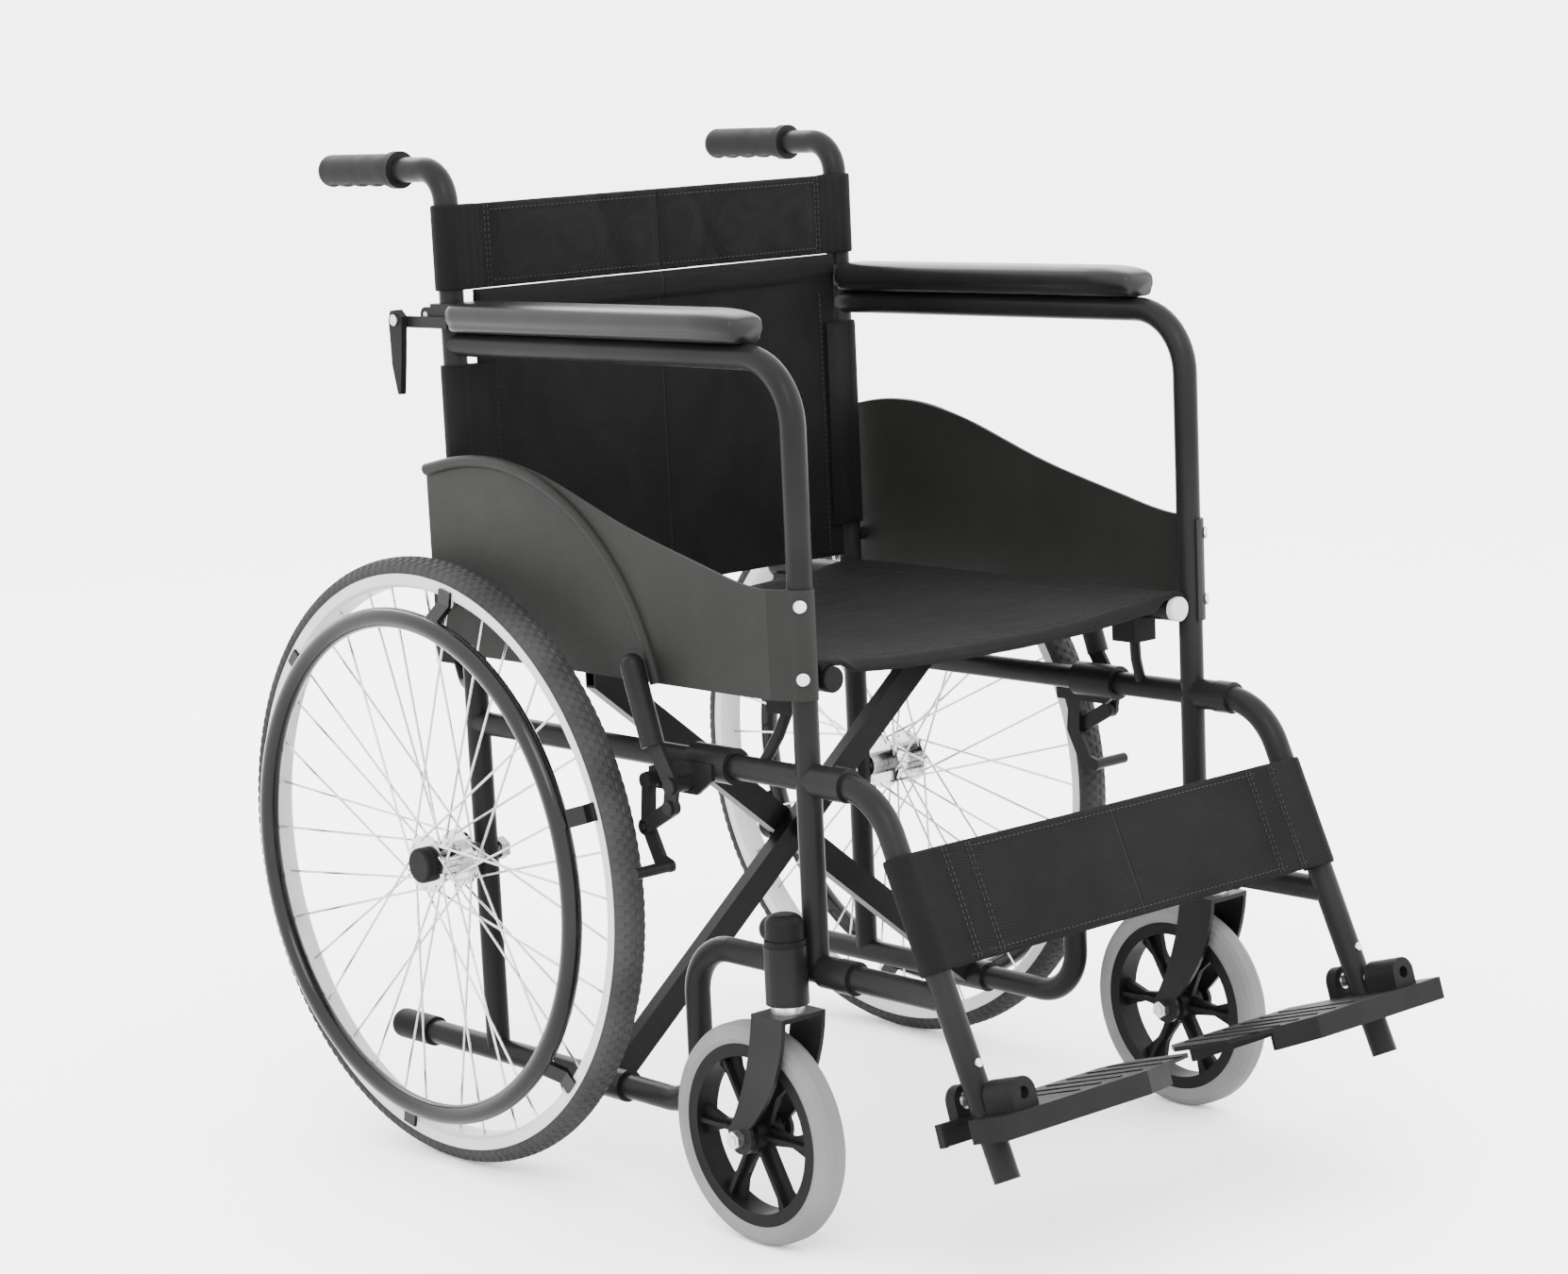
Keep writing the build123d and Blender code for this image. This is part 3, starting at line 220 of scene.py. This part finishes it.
LOOKS = {
    "frame_paint": coated("satin_black_paint", grey(0.0045), grey(0.008), (0.3, 0.42), 1100.0, 0.1,
                          coat=0.01, gloss=0.05),
    "brace_paint": coated("brace_black_paint", grey(0.004), grey(0.007), (0.24, 0.36), 1000.0, 0.1,
                          coat=0.01, gloss=0.05),
    "black_plastic": coated("moulded_black_plastic", grey(0.003), grey(0.006), (0.45, 0.6), 1500.0, 0.3,
                            gloss=0.05),
    "panel_plastic": coated("skirt_grey_plastic", (0.006, 0.006, 0.0055), (0.0085, 0.0085, 0.0078),
                            (0.45, 0.6), 2200.0, 0.4),
    "pad_skin": coated("pad_black_skin", grey(0.004), grey(0.008), (0.24, 0.38), 1700.0, 0.22, coat=0.05),
    "zinc": metal("bright_zinc", grey(0.34), grey(0.5), (0.22, 0.4)),
    "axle_steel": metal("zinc_steel", grey(0.2), grey(0.34), (0.3, 0.5)),
    "hub_chrome": metal("polished_chrome", grey(0.34), grey(0.5), (0.08, 0.2)),
    "rim_metal": coated("rim_light_grey", grey(0.36), grey(0.42), (0.3, 0.42), 600.0, 0.06, coat=0.1),
    "handrim_paint": coated("handrim_gloss_black", grey(0.002), grey(0.004), (0.12, 0.22), 500.0, 0.05,
                            coat=0.12),
    "tyre_rubber": rubber("tyre_dark_grey", grey(0.013), grey(0.023)),
    "caster_rubber": rubber("caster_grey_rubber", grey(0.085), grey(0.11), (0.5, 0.7), 700.0, 0.12),
    "grip_rubber": rubber("grip_black_rubber", grey(0.003), grey(0.006), (0.5, 0.7), 1300.0, 0.4),
    "cloth": cloth("black_nylon", grey(0.002), grey(0.0042), sheen=0.01),
    "cap_grey": coated("cap_light_grey", grey(0.3), grey(0.36), (0.4, 0.5), 800.0, 0.1),
}
THREAD = coated("black_thread", grey(0.012), grey(0.02), (0.5, 0.7), 3000.0, 0.5)


def dress_frame():
    """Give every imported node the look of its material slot."""
    slot_of = {part["node"]: part["material_slot"] for part in frame["record"]["subparts"]}
    for node, piece in frame["nodes"].items():
        look = LOOKS[slot_of[node]]
        for slot in piece.material_slots:
            slot.material = look
        if not piece.material_slots:
            piece.data.materials.append(look)


# ---- mesh tools -----------------------------------------------------------------------------------
def make_piece(name, points, faces, look, smooth=True):
    mesh = bpy.data.meshes.new(name)
    mesh.from_pydata([tuple(p) for p in points], [], faces)
    mesh.validate()
    mesh.polygons.foreach_set("use_smooth", [smooth] * len(mesh.polygons))
    mesh.materials.append(LOOKS[look] if isinstance(look, str) else look)
    piece = bpy.data.objects.new(name, mesh)
    bpy.context.scene.collection.objects.link(piece)
    return piece


def grid_faces(rows, columns, start=0, close=False, flip=False):
    faces = []
    for i in range(rows if close else rows - 1):
        for j in range(columns - 1):
            a = start + i * columns + j
            b = start + ((i + 1) % rows) * columns + j
            quad = (a, b, b + 1, a + 1)
            faces.append(quad[::-1] if flip else quad)
    return faces


def thick_cloth(name, surface, half, look):
    """A closed sheet: surface is a grid of points (rows, columns, 3), half its half-thickness."""
    rows, columns = surface.shape[:2]
    along = np.gradient(surface, axis=0)
    across = np.gradient(surface, axis=1)
    normal = np.cross(along, across)
    normal /= np.maximum(np.linalg.norm(normal, axis=2, keepdims=True), 1e-12)
    top = surface + normal * half[..., None]
    bottom = surface - normal * half[..., None]
    points = np.concatenate([top.reshape(-1, 3), bottom.reshape(-1, 3)])
    count = rows * columns
    faces = grid_faces(rows, columns) + grid_faces(rows, columns, count, flip=True)
    edge = [(i, 0) for i in range(rows)] + [(rows - 1, j) for j in range(1, columns)]
    edge += [(i, columns - 1) for i in range(rows - 2, -1, -1)] + [(0, j) for j in range(columns - 2, 0, -1)]
    loop = [i * columns + j for i, j in edge]
    broad = len(faces)
    for a, b in zip(loop, loop[1:] + loop[:1]):
        faces.append((b, a, a + count, b + count))
    piece = make_piece(name, points, faces, look)
    for polygon in list(piece.data.polygons)[broad:]:
        polygon.use_smooth = False
    return piece


def even(points, count):
    """Resample a polyline at even spacing."""
    points = np.asarray(points, float)
    steps = np.r_[0, np.cumsum(np.linalg.norm(np.diff(points, axis=0), axis=1))]
    wanted = np.linspace(0, steps[-1], count)
    return np.stack([np.interp(wanted, steps, points[:, k]) for k in range(points.shape[1])], axis=1)


def arc(centre, radius, start, end, count=24):
    """Points on a circle, angles in degrees."""
    angles = np.radians(np.linspace(start, end, count))
    return np.stack([centre[0] + radius * np.cos(angles), centre[1] + radius * np.sin(angles)], axis=1)


def smooth(value, low, high):
    t = np.clip((value - low) / (high - low), 0, 1)
    return t * t * (3 - 2 * t)


def bell(value, centre, width):
    return np.exp(-(((value - centre) / width) ** 2))


def wrinkle(points, scale, seed=0.0):
    """Smooth noise, one value per point of a grid."""
    flat = points.reshape(-1, 3) * scale + seed
    return np.array([noise.noise(Vector(p)) for p in flat]).reshape(points.shape[:-1])


def stitch_row(name, points, outward, length=0.0032, pitch=0.0048, width=0.0009):
    """A row of short raised threads that follows a polyline."""
    points = np.asarray(points, float)
    total = np.linalg.norm(np.diff(points, axis=0), axis=1).sum()
    count = max(2, int(total / pitch))
    centres = even(points, count)
    ahead = np.gradient(centres, axis=0)
    ahead /= np.linalg.norm(ahead, axis=1, keepdims=True)
    outward = np.asarray(outward, float)
    side = np.cross(ahead, outward)
    verts, faces = [], []
    ring = [(1, 0), (0.5, 0.8), (-0.5, 0.8), (-1, 0), (0, -0.6)]
    for c, a, s in zip(centres, ahead, side):
        base = len(verts)
        for reach, size in ((-0.5, 0.35), (-0.3, 1.0), (0.3, 1.0), (0.5, 0.35)):
            for x, y in ring:
                verts.append(c + a * reach * length + (s * x + outward * y) * size * width / 2)
        k = len(ring)
        for r in range(3):
            for q in range(k):
                n = (q + 1) % k
                near, far = base + r * k, base + (r + 1) * k
                faces.append((near + q, near + n, far + n, far + q))
        faces.append(tuple(base + q for q in reversed(range(k))))
        faces.append(tuple(base + 3 * k + q for q in range(k)))
    return make_piece(name, verts, faces, THREAD)


# ---- seat -----------------------------------------------------------------------------------------
CLOTH_HALF = 0.0017
LIE = TUBE_R + 0.0004 + CLOTH_HALF


def seat():
    """One sling over both rails: wraps their tops, sags in the middle, hem rolled down in front."""
    rail = arc((RAIL_X, RAIL_Z), LIE, 42, 90)
    xs = np.linspace(RAIL_X, -RAIL_X, 60)[1:-1]
    belly = np.stack([xs, RAIL_Z + LIE - 0.0115 * (1 - (xs / RAIL_X) ** 2)], axis=1)
    left = rail[::-1] * (-1, 1)
    profile = even(np.concatenate([rail, belly, left]), 121)
    depth = SEAT_HIGH.y - SEAT_LOW.y
    v = np.r_[0, 0.004, 0.008, 0.012, 0.016, 0.02, 0.03, np.linspace(0.045, 0.985, 90), 0.992, 1.0]
    ys = SEAT_LOW.y + 0.001 + v * (depth - 0.002)
    surface = np.zeros((len(ys), len(profile), 3))
    surface[..., 0] = profile[None, :, 0]
    surface[..., 1] = ys[:, None]
    surface[..., 2] = profile[None, :, 1]
    free = 1 - smooth(np.abs(surface[..., 0]), RAIL_X - 0.03, RAIL_X - 0.012)
    front = surface[..., 1] - SEAT_LOW.y
    surface[..., 2] -= free * 0.0075 * (1 - smooth(front, 0.0, 0.011))
    pull = wrinkle(surface * (1.0, 0.45, 1.0), 14.0)
    fine = wrinkle(surface * (0.6, 1.4, 1.0), 42.0, 3.1)
    surface[..., 2] += free * (0.0012 * pull + 0.0005 * fine - 0.0006)
    half = np.full(surface.shape[:2], CLOTH_HALF)
    half += 0.0008 * (1 - smooth(front, 0.012, 0.015))
    half -= 0.0009 * bell(front, 0.0145, 0.0012)
    half[0, :] = half[-1, :] = 0.0009
    piece = thick_cloth("seat_cloth", surface, half, "cloth")
    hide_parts("seat_sling")
    rows = []
    line = surface[8, 8:-8] + (0, 0, CLOTH_HALF + 0.0003)
    rows.append(stitch_row("seat_hem_stitches", line, (0, 0, 1)))
    for side, s in SIDES:
        column = int(np.argmin(np.abs(profile[:, 0] - s * (RAIL_X - 0.024))))
        line = surface[2:, column] + (0, 0, CLOTH_HALF + 0.0002)
        rows.append(stitch_row(f"seat_side_stitches_{side}", line, (0, 0, 1)))
    for piece_ in [piece, *rows]:
        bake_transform(piece_)


# ---- cloths that wrap an upright tube -----------------------------------------------------------------
def wrap_profile(front, sleeve_r, reach=160):
    """Half cloth in plan, from the middle out: flat at depth front, then round the tube and back."""
    flat = np.array([(0.0, front), (POST_X - 0.034, front)])
    tube = arc((POST_X, 0.0), sleeve_r, -104, reach, 40)
    tail = np.array([(POST_X - 0.021, front + 0.0092), (POST_X - 0.027, front + 0.0048)])
    return np.concatenate([flat, tube, tail])


def wrapped_cloth(name, s, origin, depth_axis, length_axis, length, profile, half_of, bulge_of):
    """Sweep a plan profile along a tube; side s is +1 left, -1 right."""
    plan = even(profile, 132)
    rise = np.linspace(0, length, 44)
    origin, depth_axis, length_axis = (np.asarray(a, float) for a in (origin, depth_axis, length_axis))
    surface = (origin + plan[None, :, 0:1] * np.array((s, 0.0, 0.0)) + plan[None, :, 1:2] * depth_axis
               + rise[:, None, None] * length_axis)
    x = np.broadcast_to(plan[None, :, 0], surface.shape[:2])
    past = np.arange(len(plan))[None, :] > int(np.argmax(plan[:, 0]))
    on_sheet = (1 - smooth(x, POST_X - 0.032, POST_X - 0.018)) * ~past
    z = np.broadcast_to(rise[:, None], surface.shape[:2])
    surface = surface + (bulge_of(x, z, surface) * on_sheet)[..., None] * depth_axis
    half = half_of(x, z) * np.where(past, 0.75, 1.0)
    half = np.minimum(half, np.where(on_sheet > 0.5, half, 0.0014))
    half[0, :] = half[-1, :] = 0.0008
    half[:, -1] = 0.0006
    if s > 0:
        surface = surface[:, ::-1]
        half = half[:, ::-1]
    return thick_cloth(name, surface, half, "cloth"), surface, plan


SHEET_FRONT = PANEL_LOW.y + 0.0035 - POST_Y


def back_panels():
    """Half cloths with a rolled top hem, each with a sleeve piece wrapped round its post."""
    for side, s in SIDES:
        height = PANEL_HIGH.z - PANEL_LOW.z
        xs = even([(0.0, 0.0), (POST_X - 0.0165, 0.0)], 90)[:, 0]
        zs = np.r_[np.linspace(0, 0.9, 60), np.linspace(0.905, 1.0, 18)] * height
        X, Z = np.meshgrid(xs, zs)
        surface = np.stack([s * X, np.full_like(X, POST_Y + SHEET_FRONT), PANEL_LOW.z + Z], axis=2)
        crease = 0.0011 * wrinkle(surface, 9.0, 1.7) + 0.0005 * wrinkle(surface, 28.0, 4.2)
        calm = smooth(X, 0.0, 0.02) * 0.8 + 0.2
        hem = smooth(Z, height - 0.024, height - 0.02)
        surface[..., 1] += crease * calm + 0.0035 * (1 - (X / POST_X) ** 2) * (1 - hem)
        half = np.full_like(X, CLOTH_HALF)
        roll = np.sin(np.clip((Z - (height - 0.022)) / 0.022, 0, 1) * math.pi) ** 0.5
        half += 0.0032 * roll
        half[0, :] = 0.0009
        half[-1, :] = 0.0012
        half[:, -1] = 0.001
        flat = surface if s < 0 else surface[:, ::-1]
        thick = half if s < 0 else half[:, ::-1]
        piece = thick_cloth(f"back_cloth_{side}", flat, thick, "cloth")
        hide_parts(f"back_panel_{side}")
        column = int(np.argmin(np.abs(xs - (POST_X - 0.035))))
        front = surface + (0, -CLOTH_HALF - 0.0002, 0)
        sewn = [stitch_row(f"back_side_stitches_{side}", front[2:58, column], (0, -1, 0))]
        row = int(np.argmin(np.abs(zs - (height - 0.0225))))
        sewn.append(stitch_row(f"back_hem_stitches_{side}", front[row, 1:-3], (0, -1, 0)))
        low, high = PANEL_LOW.z + 0.03, PANEL_LOW.z + 0.2245
        origin = (0.0, POST_Y, low)
        wrap = wrap_profile(SHEET_FRONT - 0.0036, TUBE_R + 0.0004 + 0.0014)[1:]
        wrap[0, 0] = POST_X - 0.032
        part, _, _ = wrapped_cloth(f"back_sleeve_{side}", s, origin, (0, 1, 0), (0, 0, 1), high - low, wrap,
                                   lambda x, z: np.full_like(x, 0.0013), lambda x, z, p: 0 * x)
        for item in [piece, part, *sewn]:
            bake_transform(item)


def head_bands():
    """Padded band across the upper posts, seamed down the middle and at each sleeve."""
    height = BAND_HIGH.z - BAND_LOW.z
    front = BAND_LOW.y + 0.0045 - POST_Y

    def half_of(x, z):
        pad = smooth(x, 0.0, 0.012) * (1 - smooth(x, POST_X - 0.052, POST_X - 0.034))
        dome = np.sin(np.clip(z / height, 0, 1) * math.pi) ** 0.4
        return 0.0016 + 0.0028 * pad * dome

    def bulge_of(x, z, points):
        folds = 0.0022 * bell(x - 0.35 * z, 0.045, 0.011) + 0.0016 * bell(x + 0.5 * z, 0.075, 0.009)
        lean = 0.0012 * wrinkle(points, 17.0, 2.2) + 0.0006 * wrinkle(points, 45.0, 6.0)
        return folds + lean + 0.001

    for side, s in SIDES:
        origin = (0.0, POST_Y, BAND_LOW.z)
        profile = wrap_profile(front, TUBE_R + 0.0004 + 0.0014)
        piece, _, _ = wrapped_cloth(f"head_band_{side}", s, origin, (0, 1, 0), (0, 0, 1), height, profile,
                                       half_of, bulge_of)
        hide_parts(f"back_band_{side}")
        sewn = []
        for k, x in enumerate((POST_X - 0.033, POST_X - 0.037)):
            steps = np.linspace(0.003, height - 0.003, 12)
            line = [(s * x, POST_Y + front - 0.0021, BAND_LOW.z + t) for t in steps]
            sewn.append(stitch_row(f"band_side_stitches_{k}_{side}", line, (0, -1, 0)))
        for k, z in enumerate((0.006, height - 0.006)):
            steps = np.linspace(0.004, POST_X - 0.04, 12)
            line = [(s * t, POST_Y + front - 0.0028, BAND_LOW.z + z) for t in steps]
            sewn.append(stitch_row(f"band_edge_stitches_{k}_{side}", line, (0, -1, 0)))
        for item in [piece, *sewn]:
            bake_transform(item)


def calf_straps():
    """Wide strap between the legrest tubes, looped round each and double-stitched."""
    for side, s in SIDES:
        joint = JOINTS[f"strap_fold_{side}"]
        along = -s * np.array(joint["axis"])
        along /= np.linalg.norm(along)
        if along[2] < 0:
            along = -along
        depth = np.cross(along, (1.0, 0.0, 0.0))
        if depth[1] < 0:
            depth = -depth
        length = 0.0963
        origin = np.array((0.0, joint["pos_m"][1], joint["pos_m"][2]))
        sleeve_r = TUBE_R + 0.0004 + 0.0014
        front = -sleeve_r
        profile = wrap_profile(front, sleeve_r)
        piece, _, plan = wrapped_cloth(
            f"calf_strap_cloth_{side}", s, origin, depth, along, length, profile,
            lambda x, z: 0.0015 + 0.0004 * (bell(z, 0.004, 0.004) + bell(z, length - 0.004, 0.004)),
            lambda x, z, p: (0.0009 * wrinkle(p, 11.0, 8.0) + 0.003 * (1 - (x / POST_X) ** 2)
                             - 0.001 * bell(x, 0.188, 0.02)))
        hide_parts(f"calf_strap_{side}")
        sewn = []
        for k, x in enumerate((POST_X - 0.033, POST_X - 0.037, POST_X - 0.060, POST_X - 0.064)):
            push = -0.0021 + 0.003 * (1 - (x / POST_X) ** 2) - 0.001 * math.exp(-(((x - 0.188) / 0.02) ** 2))
            start = origin + np.array((s * x, 0, 0)) + depth * (front + push)
            line = [start + along * t for t in np.linspace(0.004, length - 0.004, 14)]
            sewn.append(stitch_row(f"strap_stitches_{k}_{side}", line, tuple(-depth)))
        for k, z in enumerate((0.006, length - 0.006)):
            line = []
            for x in np.linspace(0.002, POST_X - 0.03, 24):
                push = -0.0021 + 0.003 * (1 - (x / POST_X) ** 2)
                line.append(origin + np.array((s * x, 0, 0)) + depth * (front + push) + along * z)
            sewn.append(stitch_row(f"strap_edge_stitches_{k}_{side}", line, tuple(-depth)))
        for item in [piece, *sewn]:
            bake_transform(item)


# ---- arm pads ------------------------------------------------------------------------------------------
def arm_pads():
    """Moulded foam pad: crowned top, rolled edge over a seam, nose drawn in at the front."""
    for side, _ in SIDES:
        low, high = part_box(f"arm_pad_{side}")
        centre = (low.x + high.x) / 2
        half_w = (high.x - low.x) / 2
        rows, ring = 90, 56
        rise = high.z - low.z
        points = []
        t = (1 - np.cos(np.linspace(0, math.pi, rows))) / 2
        for v in t:
            y = low.y + v * (high.y - low.y)
            nose = min(1.0, (v * (high.y - low.y) + 0.0005) / 0.05)
            tail = min(1.0, ((1 - v) * (high.y - low.y) + 0.0005) / 0.012)
            nose_round = math.sqrt(1 - (1 - nose) ** 2)
            tail_round = math.sqrt(1 - (1 - tail) ** 2)
            wide = half_w * (0.62 + 0.38 * nose_round) * (0.8 + 0.2 * tail_round)
            tall = rise * (0.7 + 0.3 * nose_round) * (0.86 + 0.14 * tail_round)
            for a in np.linspace(0, 2 * math.pi, ring, endpoint=False):
                ca, sa = math.cos(a), math.sin(a)
                px = math.copysign(abs(ca) ** 0.42, ca) * wide
                pz = math.copysign(abs(sa) ** 0.55, sa)
                z = low.z + tall * (0.5 + 0.5 * pz)
                seam = math.exp(-(((z - low.z) / tall - 0.36) / 0.045) ** 2)
                under = 1 - 0.12 * (1 - smooth(np.array((z - low.z) / tall), 0.28, 0.38))
                px *= (1 - 0.05 * seam) * float(under)
                crown = 0.0006 * math.cos(px / half_w * 1.5) if sa > 0 else 0.0
                points.append((centre + px, y, z + crown - 0.0006 * (sa > 0)))
        faces = [f[::-1] for f in grid_faces_ring(rows, ring)]
        faces.append(tuple(range(ring)))
        faces.append(tuple(reversed(range((rows - 1) * ring, rows * ring))))
        piece = make_piece(f"arm_cushion_{side}", points, faces, "pad_skin")
        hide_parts(f"arm_pad_{side}")
        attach(piece, f"frame_{side}")


def grid_faces_ring(rows, ring):
    faces = []
    for i in range(rows - 1):
        for j in range(ring):
            k = (j + 1) % ring
            faces.append((i * ring + j, i * ring + k, (i + 1) * ring + k, (i + 1) * ring + j))
    return faces


# ---- rear tyres -------------------------------------------------------------------------------------------
def rear_tyres():
    """Rounded tyre with a block tread in the rubber: five rows of blocks, ribbed shoulders."""
    pitches, per = 168, 6
    steps = pitches * per
    bead = RIM_R - 0.0075
    crown = WHEEL_R - 0.0006
    lane = np.linspace(0, 1, 49)
    phi = (lane - 0.5) * math.radians(300)
    depth = (crown - bead) / 2
    mid_r = (crown + bead) / 2
    profile_x = TYRE_HALF * 0.96 * np.sin(phi) * (1 - 0.12 * (np.abs(phi) > 1.9))
    profile_r = mid_r + depth * np.cos(phi)
    profile_r = np.maximum(profile_r, bead)
    for side, _ in SIDES:
        centre = middle(f"rear_tyre_{side}")
        points = []
        for i in range(steps):
            angle = 2 * math.pi * i / steps
            phase = (i % per) / per
            for x, r, p in zip(profile_x, profile_r, np.degrees(phi)):
                row = int((p + 75) // 25)
                shift = 0.5 if row % 2 else 0.0
                in_gap = ((phase + shift) % 1.0) < 0.3
                lane_gap = abs((p + 75) % 25) < 5 and abs(p) < 75
                cut = 0.0
                if abs(p) < 75:
                    cut = 0.0011 if (in_gap or lane_gap) else 0.0
                elif abs(p) < 105:
                    cut = 0.0006 if phase < 0.34 else 0.0
                radius = r - cut * math.cos(math.radians(min(abs(p), 89)))
                across = x - math.copysign(cut * math.sin(math.radians(min(abs(p), 90))), x)
                y, z = centre.y + radius * math.cos(angle), centre.z + radius * math.sin(angle)
                points.append((centre.x + across, y, z))
        n = len(profile_x)
        faces = []
        for i in range(steps):
            for j in range(n):
                a, b = i * n + j, ((i + 1) % steps) * n + j
                c, d = ((i + 1) % steps) * n + (j + 1) % n, i * n + (j + 1) % n
                faces.append((a, d, c, b))
        piece = make_piece(f"tyre_{side}", points, faces, "tyre_rubber", smooth=False)
        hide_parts(f"rear_tyre_{side}")
        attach(piece, f"rear_wheel_{side}")


# ---- room, light, camera -------------------------------------------------------------------------
def stage():
    """White floor and surroundings, with three soft lamps."""
    size = 30.0
    corners = [(-size, -size, 0), (size, -size, 0), (size, size, 0), (-size, size, 0)]
    pale = coated("pale_floor", grey(0.95), grey(0.97), (0.7, 0.8), 200.0, 0.02)
    floor = make_piece("floor", corners, [(0, 1, 2, 3)], pale)
    world = bpy.data.worlds.new("studio")
    world.use_nodes = True
    world.node_tree.nodes["Background"].inputs["Color"].default_value = (1.0, 1.0, 1.0, 1.0)
    world.node_tree.nodes["Background"].inputs["Strength"].default_value = 5.5
    bpy.context.scene.world = world
    for name, place, size, power in (
        ("key", (-2.2, -2.6, 3.2), 2.2, 130.0),
        ("fill", (2.6, -2.2, 2.4), 2.6, 45.0),
        ("back", (0.8, 3.0, 2.8), 2.0, 80.0),
    ):
        light = bpy.data.lights.new(name, "AREA")
        light.shape = "DISK"
        light.size = size
        light.energy = power
        lamp = bpy.data.objects.new(name, light)
        bpy.context.scene.collection.objects.link(lamp)
        lamp.location = place
        lamp.rotation_euler = (Vector((0, 0, 0.45)) - Vector(place)).to_track_quat("-Z", "Y").to_euler()


def camera():
    """The photograph's viewpoint: azimuth, elevation and roll in degrees, distances in metres."""
    azimuth, elevation, roll = (math.radians(a) for a in (-40.509, 11.283, -2.882))
    flat = math.cos(elevation)
    back = Vector((math.sin(azimuth) * flat, -math.cos(azimuth) * flat, math.sin(elevation)))
    level = Vector((math.cos(azimuth), math.sin(azimuth), 0))
    upright = back.cross(level)
    right = level * math.cos(roll) + upright * math.sin(roll)
    up = upright * math.cos(roll) - level * math.sin(roll)
    data = bpy.data.cameras.new("camera")
    data.sensor_width = 36.0
    data.lens = 82.55
    data.shift_x = 0.0421
    data.shift_y = 0.0866
    data.clip_end = 100.0
    eye = bpy.data.objects.new("camera", data)
    bpy.context.scene.collection.objects.link(eye)
    turn = Matrix((right, up, back)).transposed().to_4x4()
    eye.matrix_world = Matrix.Translation((-2.1379, -2.3516, 0.9724)) @ turn
    bpy.context.scene.camera = eye


dress_frame()
seat()
back_panels()
head_bands()
calf_straps()
arm_pads()
rear_tyres()
stage()
camera()

bpy.context.view_layer.update()
